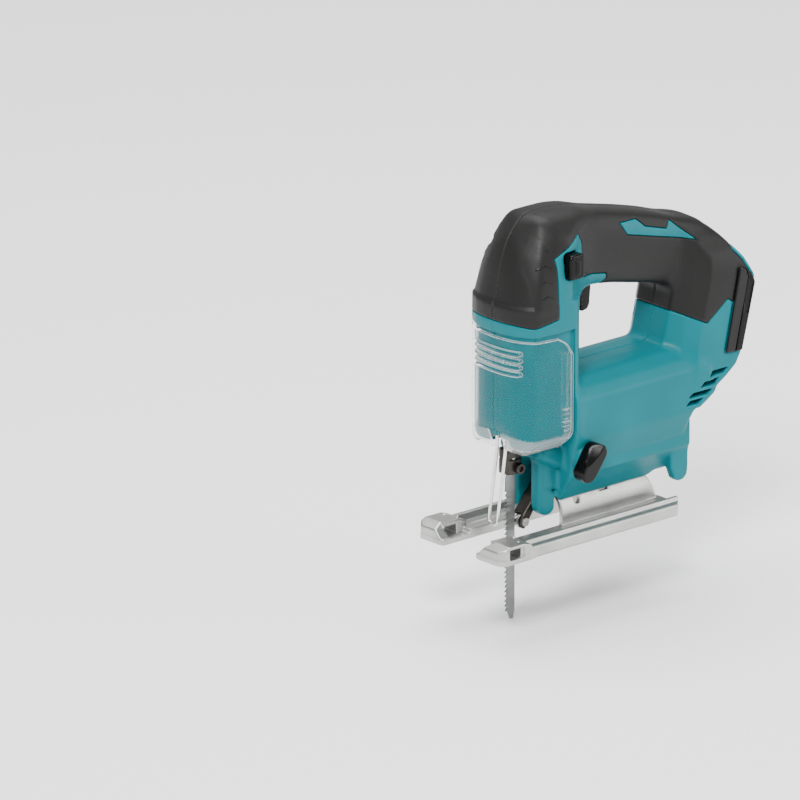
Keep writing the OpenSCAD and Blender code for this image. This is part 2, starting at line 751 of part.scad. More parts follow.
// One tooth centred on angle 0: root, flank up, tip, flank down, root.
function tooth(teeth, tip_r, root_r, slack) =
    let (pr = gear_module * teeth / 2, rb = pr * cos(20),
         to_pitch = sqrt((pr / rb) ^ 2 - 1) * 180 / PI,
         half = 90 / teeth - slack / pr * 90 / PI,
         shift = half + atan2(involute(rb, to_pitch)[1], involute(rb, to_pitch)[0]),
         last = sqrt((tip_r / rb) ^ 2 - 1) * 180 / PI,
         start = root_r > rb ? sqrt((root_r / rb) ^ 2 - 1) * 180 / PI : 0,
         flank = [for (i = [0 : 4]) turn(involute(rb, start + (last - start) * i / 4), -shift)],
         foot = turn([root_r, 0], -shift))
    concat(root_r > rb ? [] : [foot], flank,
        [for (i = [4 : -1 : 0]) [flank[i][0], -flank[i][1]]],
        root_r > rb ? [] : [[foot[0], -foot[1]]]);
function gear_outline(teeth, tip_r, root_r, slack, phase) = [for (k = [0 : teeth - 1])
    each [for (p = tooth(teeth, tip_r, root_r, slack)) turn(p, phase + k * 360 / teeth)]];

module pinion() {
    color(steel) difference() {
        translate([gear_x[0], 0, motor_z])
            section(gear_outline(pinion_teeth, pinion_r + 0.75, pinion_r - 0.9, 0.06, 90),
                0, gear_x[1] - gear_x[0]);
        xrod(0, 30, 2.5, 0, motor_z);
    }
}
module crank_gear() {
    color(dark_steel) difference() {
        union() {
            translate([gear_x[0], 0, gear_z])
                section(gear_outline(gear_teeth, gear_r + 0.45, gear_r - 1.05, 0.06, 93),
                    0, gear_x[1] - gear_x[0]);
            xrod(gear_x[1], 24.2, 10, 0, gear_z + 0.8);
        }
        xrod(0, 30, 6, 0, gear_z);
        xrod(12, 18, 3, 0, gear_z - crank_r);
    }
}
module gear_sleeve() {
    color(copper) difference() {
        xrod(12.5, 24.2, 6, 0, gear_z);
        xrod(10, 30, 4 + run, 0, gear_z);
    }
}
module crank_pin() { color(steel) xrod(8, 18, 3, 0, gear_z - crank_r); }

// ---- plunger, holder and blade ----

module plunger() { color(steel) zrod(50, 141, plunger_r, plunger_x); }
module plunger_yoke() {
    z = gear_z - crank_r;
    color(dark_steel) difference() {
        union() {
            block([4.2, -20, z - 6.6], [7.4, 20, 101.5]);
            block([-9, -6, 96], [4.2, 6, 101.5]);
        }
        zrod(90, 110, plunger_r, plunger_x);
        block([0, -crank_r - 3.2, z - 3.1], [10, crank_r + 3.2, z + 3.1]);
    }
}
module blade_holder() {
    color(dark_steel) difference() {
        block([-8.5, -5, 41], [2, 5, 57]);
        zrod(50, 60, plunger_r, plunger_x);
        block([-7, -blade_t / 2, 40], [0, blade_t / 2, 50]);
        yrod(-6, -blade_t / 2, 1.8, -1.4, 44.6);
    }
}
module clamp_bolt() {
    color(black) difference() {
        union() {
            yrod(-8.2, -5, 3.2, -1.4, 44.6);
            yrod(-5, -blade_t / 2, 1.8, -1.4, 44.6);
        }
        translate([-1.4, -6.2, 44.6]) rotate([90, 0, 0]) cylinder(h = 3, r = 1.7, $fn = 6);
    }
}
module saw_blade() {
    depth = 0.5 * tooth_pitch;
    count = floor((teeth_top + blade_reach - 6) / tooth_pitch);
    color(steel) side(concat(
        [[-6.4, 50], [-6.4, 40], [-7, 38], [-7, teeth_top + 1]],
        [for (i = [0 : count - 1]) each [
            [-7.4, teeth_top - i * tooth_pitch],
            [-7.4 + depth, teeth_top - (i + 0.25) * tooth_pitch]]],
        [[-7, teeth_top - count * tooth_pitch], [-3.2, -blade_reach + 0.4],
         [-1.2, -blade_reach], [0, -blade_reach + 5], [0, 38], [-0.6, 40], [-0.6, 50]]),
        -blade_t / 2, blade_t / 2);
}

left_housing();
right_housing();
left_grip();
right_grip();
housing_screws();
left_rear_pad();
right_rear_pad();
terminal_block();
terminal_contacts();
control_board();
heat_sink();
switch_body();
switch_plunger();
gear_housing();
gear_housing_screws();
upper_bush();
lower_bush();
gear_shaft();
front_bearing();
rear_bearing();
motor_can();
motor_magnets();
brush_bracket();
carbon_brushes();
brush_springs();
motor_leads();
knob_bush();
pivot_pin();
wire_guard();
saddle_bracket();
saddle_clamp();
saddle_bolt();
base_plate();
dust_cover();
trigger();
trigger_pin();
lock_button();
orbit_knob();
orbit_shaft();
orbit_rod();
roller_lever();
guide_roller();
roller_pin();
armature_shaft();
armature_core();
armature_windings();
commutator();
cooling_fan();
pinion();
crank_gear();
crank_pin();
gear_sleeve();
plunger();
plunger_yoke();
blade_holder();
clamp_bolt();
saw_blade();
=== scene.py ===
"""Cordless top-handle jigsaw: the looks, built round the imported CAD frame.

Sizes inside the modelling functions are in millimetres, in the frame's own axes
(-X is the cutting direction, -Y the operator's left, +Z up). make_piece turns them
into metres. The moulded and cast parts are implicit solids: smooth distance fields on
a grid, from which a surface net is taken.
"""
import json
import math

import bmesh
import bpy
import numpy as np
from mathutils import Matrix, Vector


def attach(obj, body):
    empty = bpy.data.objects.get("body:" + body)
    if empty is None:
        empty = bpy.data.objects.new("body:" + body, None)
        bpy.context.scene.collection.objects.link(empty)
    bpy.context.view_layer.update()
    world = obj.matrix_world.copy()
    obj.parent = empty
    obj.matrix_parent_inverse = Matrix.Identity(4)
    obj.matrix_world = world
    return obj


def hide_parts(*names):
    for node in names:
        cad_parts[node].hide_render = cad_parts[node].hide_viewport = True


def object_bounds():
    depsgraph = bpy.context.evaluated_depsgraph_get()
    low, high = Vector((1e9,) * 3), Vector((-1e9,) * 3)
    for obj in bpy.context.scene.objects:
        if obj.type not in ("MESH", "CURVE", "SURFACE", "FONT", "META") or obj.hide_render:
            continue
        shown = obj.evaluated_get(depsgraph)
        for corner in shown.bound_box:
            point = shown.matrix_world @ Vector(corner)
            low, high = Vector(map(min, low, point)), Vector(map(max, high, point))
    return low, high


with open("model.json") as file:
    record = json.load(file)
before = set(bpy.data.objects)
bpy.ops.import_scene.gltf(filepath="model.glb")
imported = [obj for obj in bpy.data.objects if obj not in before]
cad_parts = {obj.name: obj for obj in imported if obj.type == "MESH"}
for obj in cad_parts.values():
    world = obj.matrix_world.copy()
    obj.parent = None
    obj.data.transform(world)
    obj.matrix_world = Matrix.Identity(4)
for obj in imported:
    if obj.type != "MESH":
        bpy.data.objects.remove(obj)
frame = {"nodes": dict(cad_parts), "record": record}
cad_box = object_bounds()

MM = 0.001
SKIN = 2.0                      # rubber skin and dust cover thickness
CLEARANCE = 0.3                 # gap between pieces that slide past each other
WALL = 4.2                      # outer surface to the inside of the shell
FINE = 0.8    # scale on every grid step
TILT_Z = 11.0                   # bevel axis above the sole
SADDLE_R = 17.5                 # outer radius of the tilting hump
KNOB = (32.0, 49.0)             # axis of the orbit knob, X and Z
PIVOT = (15.5, 20.0)            # axis of the roller lever
ROLLER = (4.5, 9.3)             # axis of the guide roller
LOCK = (20.5, 171.0)            # axis of the lock button
TRIGGER = (49.0, 165.0)         # axis of the trigger
CLAMP_BOLT = (-1.4, 44.6)       # axis of the blade clamp's bolt
SCREW_POCKET = 3.3              # radius of a case screw's pocket
FLANK_Y = 31.4                  # half width at the orbit knob's seat
FORK_BACK = 22.8                # where the fork of the sole ends
TUNNEL_X = 88                   # where the tunnel under the hump ends
HUMP_WALL = 3                   # thickness of the hump
SOLE_W, SOLE_REAR = 38, 103     # half width of the sole and its rear end
BLADE_HALF = 0.6                # half the blade's thickness
HALVES = (("left", False), ("right", True))     # name, and whether it is mirrored
BEVEL = 0.25                    # bevel on turned metal parts
AZIMUTH, ELEVATION = -41.5, 18.6     # camera, in degrees
DISTANCE = 8.0                       # camera to the sole, in metres
METRES_PER_PIXEL = 1 / 1690          # scale of the view at the sole
ORIGIN_PIXEL = (514.0, 536.6)        # where the frame's origin falls in the 800 x 800 view
IMAGE_SIZE = 800
SENSOR = 36                          # camera sensor, in millimetres
LIGHTS = [("key", (-1.5, -1.3, 2.0), 0.9, 100), ("fill", (1.4, -1.4, 0.7), 1.2, 22),
          ("top", (0.3, 0.5, 2.2), 1.8, 75)]      # name, place, size and power
SCREWS = [(28, 190), (26, 143.5), (1, 179), (11, 52.3), (106, 44), (36, 97.5),
          (131, 79), (112.6, 112), (138, 147), (64, 183)]


# ---- outlines ----

def arc(centre, radius, start, end, steps):
    """Points on an arc, angles in degrees."""
    angles = np.radians(np.linspace(start, end, steps + 1))
    return [(centre[0] + radius * math.cos(a), centre[1] + radius * math.sin(a)) for a in angles]


def both_sides(half):
    """A half outline of (along, half width) points with its mirror image."""
    return [(u, -v) for u, v in half] + [(u, v) for u, v in reversed(half) if v > 0]


def left_half(half):
    """The mirror image of a half outline, which a folded plan takes."""
    return [(u, -v) for u, v in half][::-1]


def both_flanks(half):
    """A half section of (half width, height) points with its mirror image."""
    return list(half) + [(-u, v) for u, v in reversed(half) if u > 0]


# ---- implicit solids ----

def soften(field, cells):
    """Gaussian blur of a 2D field, which rounds the corners of its outline."""
    reach = int(3 * cells) + 1
    weights = np.exp(-0.5 * (np.arange(-reach, reach + 1) / cells) ** 2)
    weights /= weights.sum()
    for axis in (0, 1):
        pad = [(reach, reach) if a == axis else (0, 0) for a in (0, 1)]
        wide = np.pad(field, pad, mode="reflect", reflect_type="odd")
        size = field.shape[axis]
        field = sum(w * np.take(wide, range(i, i + size), axis) for i, w in enumerate(weights))
    return field.astype(np.float32)


def outline_distance(points, u, v):
    """Signed distance to a closed outline on the grid u x v, negative inside."""
    grid_u, grid_v = np.meshgrid(u, v, indexing="ij")
    nearest = np.full(grid_u.shape, 1e9)
    inside = np.zeros(grid_u.shape, bool)
    for (au, av), (bu, bv) in zip(points, points[1:] + points[:1]):
        eu, ev = bu - au, bv - av
        wu, wv = grid_u - au, grid_v - av
        t = np.clip((wu * eu + wv * ev) / (eu * eu + ev * ev + 1e-12), 0, 1)
        nearest = np.minimum(nearest, (wu - t * eu) ** 2 + (wv - t * ev) ** 2)
        if av != bv:
            inside ^= ((av > grid_v) != (bv > grid_v)) & (wu < eu * wv / ev)
    return (np.where(inside, -1, 1) * np.sqrt(nearest)).astype(np.float32)


def smooth_min(a, b, k):
    """Union of two fields with a fillet of about k."""
    h = np.maximum(k - np.abs(a - b), 0) / k
    return np.minimum(a, b) - h * h * (k / 4)


def smooth_max(a, b, k):
    """Intersection of two fields with a rounded edge of about k."""
    return -smooth_min(-a, -b, k)


def smooth_step(t):
    """From 0 to 1 with level ends, for t from 0 to 1."""
    t = np.clip(t, 0, 1)
    return t * t * (3 - 2 * t)


class Grid:
    """A box of sample points, and the solids that can be drawn on it."""

    def __init__(self, low, high, step):
        self.step = step
        self.low = np.array(low, np.float32)
        self.x, self.y, self.z = (np.arange(a, b + step, step, dtype=np.float32)
                                  for a, b in zip(low, high))
        self.X = self.x[:, None, None]
        self.Y = self.y[None, :, None]
        self.Z = self.z[None, None, :]

    def side(self, points, soft=0.0):
        """An outline in X and Z, endless along Y."""
        field = outline_distance(points, self.x, self.z)
        return (soften(field, soft / self.step) if soft else field)[:, None, :]

    def plan(self, points, soft=0.0, fold=False):
        """An outline in X and Y, endless along Z; folded, its left half serves both sides."""
        field = outline_distance(points, self.x, -np.abs(self.y) if fold else self.y)
        return (soften(field, soft / self.step) if soft else field)[:, :, None]

    def section(self, points, soft=0.0, fold=False):
        """An outline in Y and Z, endless along X, folded in the same way."""
        field = outline_distance(points, -np.abs(self.y) if fold else self.y, self.z)
        return (soften(field, soft / self.step) if soft else field)[None, :, :]

    def warp(self, field, rows, columns):
        """A 2D field on this grid's x and y, read at other coordinates for every point."""
        i = np.clip((rows - self.x[0]) / self.step, 0, len(self.x) - 1.001)
        j = np.clip((columns - self.y[0]) / self.step, 0, len(self.y) - 1.001)
        i0, j0 = i.astype(int), j.astype(int)
        u, v = i - i0, j - j0
        return ((field[i0, j0] * (1 - u) + field[i0 + 1, j0] * u) * (1 - v)
                + (field[i0, j0 + 1] * (1 - u) + field[i0 + 1, j0 + 1] * u) * v)

    def block(self, low, high):
        """A sharp box."""
        (x0, y0, z0), (x1, y1, z1) = low, high
        return np.maximum(np.maximum(np.maximum(x0 - self.X, self.X - x1),
                                     np.maximum(y0 - self.Y, self.Y - y1)),
                          np.maximum(z0 - self.Z, self.Z - z1))

    def rod(self, axis, centre, radius):
        """An endless round rod along an axis, centre given in the other two."""
        p, q = {"x": (self.Y, self.Z), "y": (self.X, self.Z), "z": (self.X, self.Y)}[axis]
        return np.sqrt((p - centre[0]) ** 2 + (q - centre[1]) ** 2) - radius

    def full(self, field):
        """The field as a whole array of the grid's shape."""
        shape = (len(self.x), len(self.y), len(self.z))
        return np.array(np.broadcast_to(field, shape), np.float32)

    def sample(self, field, points):
        """The field between grid points, by trilinear interpolation."""
        cell = (points - self.low) / self.step
        limit = np.array(field.shape) - 2
        base = np.clip(np.floor(cell).astype(int), 0, limit)
        t = np.clip(cell - base, 0, 1)
        value = 0
        for corner in np.ndindex(2, 2, 2):
            weight = np.prod(np.where(corner, t, 1 - t), axis=1)
            i, j, k = (base + corner).T
            value = value + weight * field[i, j, k]
        return value

    def surface(self, field):
        """Vertices in millimetres and quads of the field's zero surface."""
        field = self.full(field)
        field[[0, -1]] = np.maximum(field[[0, -1]], 0.01)
        field[:, [0, -1]] = np.maximum(field[:, [0, -1]], 0.01)
        field[:, :, [0, -1]] = np.maximum(field[:, :, [0, -1]], 0.01)
        inside = field < 0
        count = sum(inside[i:i - 1 or None, j:j - 1 or None, k:k - 1 or None].astype(np.int8)
                    for i, j, k in np.ndindex(2, 2, 2))
        cells = np.argwhere((count > 0) & (count < 8))
        number = np.full(count.shape, -1, np.int32)
        number[tuple(cells.T)] = np.arange(len(cells))
        total = np.zeros((len(cells), 3))
        hits = np.zeros(len(cells))
        for axis in range(3):
            along = np.eye(3, dtype=int)[axis]
            for corner in np.ndindex(2, 2, 2):
                if corner[axis]:
                    continue
                a = field[tuple((cells + corner).T)]
                b = field[tuple((cells + corner + along).T)]
                cut = (a < 0) != (b < 0)
                t = np.where(cut, a / np.where(cut, a - b, 1), 0)
                total[cut] += (np.array(corner) + t[:, None] * along)[cut]
                hits += cut
        verts = self.low + self.step * (cells + total / hits[:, None])
        verts = self.settle(field, verts)
        return verts, self.quads(inside, number)

    def settle(self, field, verts, rounds=3):
        """Moves the vertices onto the zero surface, by no more than a cell."""
        start = verts.copy()
        reach = 0.5 * self.step
        for _ in range(rounds):
            value = self.sample(field, verts)
            slope = np.stack([self.sample(field, verts + reach * e)
                              - self.sample(field, verts - reach * e) for e in np.eye(3)], 1)
            slope /= 2 * reach
            size = np.maximum((slope ** 2).sum(1), 0.05)
            verts = verts - 0.8 * value[:, None] * slope / size[:, None]
            verts = np.clip(verts, start - reach, start + reach)
        return verts

    @staticmethod
    def quads(inside, number):
        """One quad round every grid edge that crosses the surface."""
        found = []
        for axis in range(3):
            one, two = (axis + 1) % 3, (axis + 2) % 3
            low = [slice(1, -1)] * 3
            low[axis] = slice(0, -1)
            high = list(low)
            high[axis] = slice(1, None)
            a, b = inside[tuple(low)], inside[tuple(high)]
            for start, flip in ((a & ~b, False), (b & ~a, True)):
                edge = np.argwhere(start)
                edge[:, one] += 1
                edge[:, two] += 1
                step1, step2 = np.eye(3, dtype=int)[one], np.eye(3, dtype=int)[two]
                ring = [number[tuple((edge - s).T)]
                        for s in (step1 + step2, step2, 0 * step1, step1)]
                found.append(np.stack(ring[::-1] if flip else ring, 1))
        return np.concatenate(found)


# ---- materials ----

class Paint:
    """Builds a Principled material from noise, so that no surface is one flat colour."""

    def __init__(self, name, colour, roughness, metallic=0.0, **inputs):
        self.material = bpy.data.materials.new(name)
        self.material.use_nodes = True
        self.tree = self.material.node_tree
        self.shader = self.tree.nodes["Principled BSDF"]
        self.shader.inputs["Metallic"].default_value = metallic
        for key, value in inputs.items():
            self.shader.inputs[key.replace("_", " ")].default_value = value
        self.colour = colour
        self.material.diffuse_color = (*colour, 1)
        self.shader.inputs["Base Color"].default_value = (*colour, 1)
        self.shader.inputs["Roughness"].default_value = roughness
        self.height = None

    def node(self, kind, **values):
        node = self.tree.nodes.new("ShaderNode" + kind)
        for key, value in values.items():
            if key in node.inputs:
                node.inputs[key].default_value = value
            else:
                setattr(node, key, value)
        return node

    def place(self, stretch=(1, 1, 1)):
        """Object coordinates, stretched."""
        mapping = self.node("Mapping")
        mapping.inputs["Scale"].default_value = stretch
        self.tree.links.new(self.node("TexCoord").outputs["Object"], mapping.inputs["Vector"])
        return mapping.outputs["Vector"]

    def noise(self, scale, detail=3.0, stretch=(1, 1, 1)):
        node = self.node("TexNoise", Scale=scale, Detail=detail)
        self.tree.links.new(self.place(stretch), node.inputs["Vector"])
        return node.outputs["Fac"]

    def spread(self, value, low, high, start=0.3, end=0.7):
        """The value, remapped from start..end to low..high."""
        node = self.node("MapRange")
        for key, number in (("From Min", start), ("From Max", end), ("To Min", low),
                            ("To Max", high)):
            node.inputs[key].default_value = number
        self.tree.links.new(value, node.inputs["Value"])
        return node.outputs["Result"]

    def mottle(self, value, dark, light):
        """Colour that wanders between darker and lighter with the value."""
        mix = self.node("Mix", data_type="RGBA")
        mix.inputs[6].default_value = (*[c * dark for c in self.colour], 1)
        mix.inputs[7].default_value = (*[min(c * light, 1) for c in self.colour], 1)
        self.tree.links.new(self.spread(value, 0, 1), mix.inputs[0])
        self.tree.links.new(mix.outputs[2], self.shader.inputs["Base Color"])
        return self

    def edge_highlight(self, colour, amount, width=0.02):
        """Painted highlight: a lighter colour where the surface is sharply convex."""
        source = self.shader.inputs["Base Color"]
        mix = self.node("Mix", data_type="RGBA")
        if source.links:
            self.tree.links.new(source.links[0].from_socket, mix.inputs[6])
        else:
            mix.inputs[6].default_value = source.default_value
        mix.inputs[7].default_value = (*colour, 1)
        edge = self.spread(self.node("NewGeometry").outputs["Pointiness"], 0, amount,
                           0.5 + width, 0.5 + 3 * width)
        self.tree.links.new(edge, mix.inputs[0])
        self.tree.links.new(mix.outputs[2], source)
        return self

    def polish(self, value, low, high):
        """Roughness that varies between low and high with the value."""
        self.tree.links.new(self.spread(value, low, high), self.shader.inputs["Roughness"])
        return self

    def bump(self, value, depth):
        """Surface relief of a depth in millimetres."""
        node = self.node("Bump", Strength=1.0, Distance=depth * MM)
        self.tree.links.new(value, node.inputs["Height"])
        if self.height:
            self.tree.links.new(self.height, node.inputs["Normal"])
        self.height = node.outputs["Normal"]
        self.tree.links.new(self.height, self.shader.inputs["Normal"])
        return self


def make_materials():
    """Every material, by the record's slot name."""
    made = {}

    def moulded(slot, colour, roughness, grain_scale, depth, **inputs):
        paint = Paint(slot, colour, roughness, **inputs)
        grain = paint.noise(grain_scale, 2)
        broad = paint.noise(28, 2)
        paint.mottle(broad, 0.92, 1.08).polish(grain, roughness - 0.07, roughness + 0.08)
        paint.bump(grain, depth)
        made[slot] = paint
        return paint

    def metal(slot, colour, roughness, stretch=(1, 1, 1), depth=0.02, scale=900):
        paint = Paint(slot, colour, roughness, 1.0)
        grain = paint.noise(scale, 3, stretch)
        paint.mottle(paint.noise(60, 3), 0.86, 1.1)
        paint.polish(grain, roughness - 0.1, roughness + 0.12).bump(grain, depth)
        made[slot] = paint
        return paint

    # The lighter edge colours on the shell, rubber and black plastic are painted highlights along
    # sharp edges.
    moulded("teal_shell", (0.0, 0.13, 0.155), 0.36, 2600, 0.01,
            Specular_IOR_Level=0.14).edge_highlight((0.0, 0.2, 0.24), 0.35)
    moulded("grip_rubber", (0.009, 0.0088, 0.0086), 0.46, 1500, 0.03,
            Specular_IOR_Level=0.2).edge_highlight((0.035, 0.034, 0.033), 0.5)
    moulded("black_plastic", (0.0015, 0.0015, 0.0015), 0.22, 2000, 0.01,
            Specular_IOR_Level=0.15).edge_highlight((0.025, 0.025, 0.025), 0.5)
    moulded("board", (0.01, 0.1, 0.045), 0.4, 900, 0.01)
    moulded("carbon", (0.02, 0.02, 0.02), 0.6, 1800, 0.03)
    moulded("lead_sleeve", (0.03, 0.02, 0.02), 0.45, 900, 0.01)
    metal("cast_alloy", (0.45, 0.45, 0.435), 0.4, depth=0.05, scale=1300)
    metal("aluminium", (0.72, 0.72, 0.7), 0.36, (0.12, 1, 1), 0.02, 1500)
    metal("steel", (0.58, 0.57, 0.55), 0.28, (1, 1, 0.1), 0.01)
    metal("bright_steel", (0.75, 0.75, 0.74), 0.18, (1, 1, 0.15), 0.005)
    metal("dark_steel", (0.06, 0.055, 0.05), 0.42, depth=0.02)
    metal("blade_steel", (0.2, 0.21, 0.205), 0.36, (0.1, 1, 1), 0.01, 1400)
    metal("brass", (0.72, 0.52, 0.22), 0.3)
    metal("bronze", (0.55, 0.34, 0.16), 0.35)
    metal("copper", (0.75, 0.38, 0.22), 0.3, (0.05, 1, 1), 0.03, 2000)
    metal("magnet", (0.12, 0.12, 0.125), 0.5)
    clear = Paint("clear_plastic", (0.97, 0.99, 0.99), 0.0, IOR=1.1)
    clear.mottle(clear.noise(20, 2), 0.99, 1.01)
    # Where frost_and_highlight is high the cover turns rougher and whiter: real frosting on its
    # foot, painted highlights along its rim, slots, window, rails and ribs.
    frost_and_highlight = clear.node("Attribute", attribute_name="frost_and_highlight").outputs["Fac"]
    clear.tree.links.new(clear.spread(frost_and_highlight, 0.0, 0.3, 0.0, 0.6),
                         clear.shader.inputs["Roughness"])
    clear.tree.links.new(clear.spread(frost_and_highlight, 1.0, 0.62, 0.2, 1.0),
                         clear.shader.inputs["Transmission Weight"])
    made["clear_plastic"] = clear
    return made


# ---- pieces ----

def make_piece(name, verts, faces, slot, body, nodes, flip_y=False, keep=1.0):
    """A mesh piece from millimetre vertices, riding on a body in place of CAD nodes."""
    verts = np.array(verts, np.float64) * MM
    faces = np.array(faces)
    if flip_y:
        verts[:, 1] *= -1
        faces = faces[:, ::-1]
    mesh = bpy.data.meshes.new(name)
    mesh.vertices.add(len(verts))
    mesh.vertices.foreach_set("co", verts.ravel())
    mesh.loops.add(faces.size)
    mesh.loops.foreach_set("vertex_index", faces.ravel().astype(np.int32))
    mesh.polygons.add(len(faces))
    mesh.polygons.foreach_set("loop_start",
                              np.arange(0, faces.size, faces.shape[1], dtype=np.int32))
    mesh.update(calc_edges=True)
    mesh.validate()
    mesh.polygons.foreach_set("use_smooth", np.ones(len(mesh.polygons), bool))
    piece = bpy.data.objects.new(name, mesh)
    bpy.context.collection.objects.link(piece)
    if keep < 1:
        piece.modifiers.new("thin", "DECIMATE").ratio = keep
        bake_modifiers(piece)
    return adopt(piece, slot, body, nodes)


def adopt(piece, slot, body, nodes):
    """Material, body and CAD nodes of a finished piece."""
    piece.data.materials.clear()
    piece.data.materials.append(PAINTS[slot].material)
    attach(piece, body)
    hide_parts(*nodes)
    return piece


def bake_modifiers(piece):
    """Replaces the piece's mesh by the one that its modifiers give."""
    graph = bpy.context.evaluated_depsgraph_get()
    mesh = bpy.data.meshes.new_from_object(piece.evaluated_get(graph))
    piece.modifiers.clear()
    piece.data = mesh


def solid(name, grid, field, slot, body, nodes, keep=0.5, flip_y=False):
    """A piece from a grid's field."""
    verts, quads = grid.surface(field)
    return make_piece(name, verts, quads, slot, body, nodes, flip_y, keep)


def from_bmesh(name, bm, slot, body, nodes, bevel):
    """A piece from a bmesh in millimetres, with bevelled edges."""
    bmesh.ops.recalc_face_normals(bm, faces=bm.faces)
    bmesh.ops.scale(bm, vec=(MM, MM, MM), verts=bm.verts)
    mesh = bpy.data.meshes.new(name)
    bm.to_mesh(mesh)
    bm.free()
    piece = bpy.data.objects.new(name, mesh)
    bpy.context.collection.objects.link(piece)
    if bevel:
        modifier = piece.modifiers.new("edge", "BEVEL")
        modifier.width = bevel * MM
        modifier.segments = 2
        modifier.limit_method = "ANGLE"
        modifier.angle_limit = math.radians(30)
        modifier.harden_normals = False
        bake_modifiers(piece)
    for face in piece.data.polygons:
        face.use_smooth = True
    piece.data.set_sharp_from_angle(angle=math.radians(40))
    return adopt(piece, slot, body, nodes)


def lathe(bm, profile, centre, hexagon, sides=48):
    """A turned solid of (distance along Y, radius) points; up to hexagon it is six-sided."""
    aim = Matrix.Rotation(-math.pi / 2, 4, "X")
    rings = []
    for along, radius in profile:
        ring = []
        for i in range(sides):
            angle = 2 * math.pi * (i + 0.5) / sides
            reach = radius
            if radius <= hexagon:
                step = math.pi / 3
                reach = radius * math.cos(step / 2) / math.cos((angle % step) - step / 2)
            point = Vector((reach * math.cos(angle), reach * math.sin(angle), along))
            ring.append(bm.verts.new(Vector(centre) + aim @ point))
        rings.append(ring)
    for one, two in zip(rings, rings[1:]):
        for i in range(sides):
            j = (i + 1) % sides
            bm.faces.new((one[i], one[j], two[j], two[i]))
    bm.faces.new(rings[0])
    bm.faces.new(rings[-1])


# ---- outlines of the parts, as in the CAD ----

COLUMN_SIDE = [(-12, 57), (34.5, 57), (34.5, 150), (-18.5, 150), (-18.7, 133), (-18.7, 75)]
COLUMN_PLAN = both_sides([(-18.7, 0), (-18.2, 8), (-16.2, 16), (-12.8, 23), (-8.5, 28.3),
                          (4, 29.6), (21.8, 30), (27, 27.2), (31.2, 20.5), (34.5, 12)])
COLUMN_SECTION = both_flanks([(21, 57), (30.6, 67), (30.6, 155)])
HEAD_SIDE = [(-18.7, 133), (34.5, 133), (34.5, 147), (37, 148), (60, 146.3), (60, 194.6),
             (54, 196), (44, 198), (30, 199.5), (18, 200.4), (9, 199.6), (1, 196.6),
             (-5.5, 190.6), (-10, 180.4), (-13, 170), (-15.5, 158), (-18, 146)]
HEAD_PLAN = both_sides([(-18.7, 0), (-18.2, 8), (-16.2, 16), (-12.8, 23), (-8.5, 28.3),
                        (4, 29.6), (18, 29.5), (26, 24.8), (32, 21.4), (40, 19.5), (46, 18),
                        (60, 17)])
HEAD_FRONT = [(133, 0), (146, 0.7), (158, 3.2), (170, 5.8), (180, 8.9), (190, 13.4),
              (197.3, 19.7), (201, 27.7)]
HEAD_FLANK = [(133, 0), (152, 0.3), (165, 1.6), (178, 4.9), (187, 9.6), (195, 16.6),
              (200.6, 24.5), (206, 32)]
HEAD_SECTION = both_flanks([(31.2, 130), (31.2, 165), (28.8, 178.6), (24.8, 188), (17.8, 195.9),
                            (8, 200.8), (0, 202.4)])
HANDLE_SIDE = [(30, 148.5), (40, 148), (54, 146.8), (66, 145.6), (97, 138.8), (128, 130),
               (136, 128), (136, 170), (128, 174), (117, 177.3), (102, 182.8), (83, 188.4),
               (65, 192.8), (40, 198.9), (30, 200.4)]
REAR_SIDE = [(100, 78), (121, 63), (132.6, 70), (142.6, 76), (150.6, 82), (154.6, 89),
             (160.7, 112), (165.4, 134.5), (158.6, 147), (150.8, 156), (141.6, 167), (129, 174.4),
             (118, 173), (114, 137), (105.5, 100)]
REAR_PLAN = [(102.5, 8), (108, 14.5), (115, 22.5), (124, 29), (140, 31), (170, 31)]
REAR_SECTION = both_flanks([(31, 55), (31, 138), (27, 152), (20, 163), (10, 171), (0, 174)])
BULGE_SIDE = [(22.3, 45), (112, 45), (117, 60), (132, 69.6), (126, 90), (106, 100.5),
              (22.3, 100.5)]
BULGE_SECTION = both_flanks([(25.8, 44), (31, 61), (31, 86), (26, 93), (19, 98), (9, 100.5)])
LOWER_SIDE = [(22.5, 20.5), (93, 20.5), (97, 23.5), (118, 23.5), (118, 58), (22.5, 58)]
LOWER_SECTION = both_flanks([(15, 20.5), (20, 30), (26, 38.5), (26, 58)])
CHIN_SIDE = [(4, 57.5), (4, 51), (18, 43), (24, 41), (24, 57.5)]
HORN_SIDE = [(8, 57), (8, 20)] + arc((15, 20), 7, 180, 360, 12) + [(22, 26), (18.3, 28),
                                                                  (18.3, 46), (24, 46), (24, 57)]
LUG_SIDE = [(104, 40), (104, 25.5), (107, 17.6), (110, 15.8), (114, 15.8), (117.5, 19),
            (118, 26), (118, 40)]
HEAD_RUBBER = [(-30, 139), (-16, 139), (-9, 137.6), (9, 140.4), (9.2, 171), (8.3, 177),
               (30, 187.5), (34.5, 181), (36, 165), (38, 158), (47, 157.5), (59, 155),
               (60, 151.5), (50, 142), (90, 130), (104, 122), (112, 120), (128, 112),
               (143.5, 124.5), (149, 121), (170, 121), (170, 210), (-30, 210)]
HANDLE_INLAY = [(70, 183.5), (84, 183), (90, 177.5), (107, 172.5), (110.5, 176.8), (128, 162),
                (75, 175.5)]
TRIGGER_SLOT = [(41.5, 140), (60, 140), (60, 156), (41.5, 156)]
REAR_CHANNEL = [(147, 90), (180, 90), (190, 170), (161.7, 170)]
RAIL_SLOT = [(150.2, 90), (154.2, 90), (165.9, 170), (161.7, 170)]
PAD_SIDE = [(140.8, 90.8), (153.2, 90.8), (158.6, 112), (163.4, 131.5), (160.4, 138),
            (152.3, 143.2)]
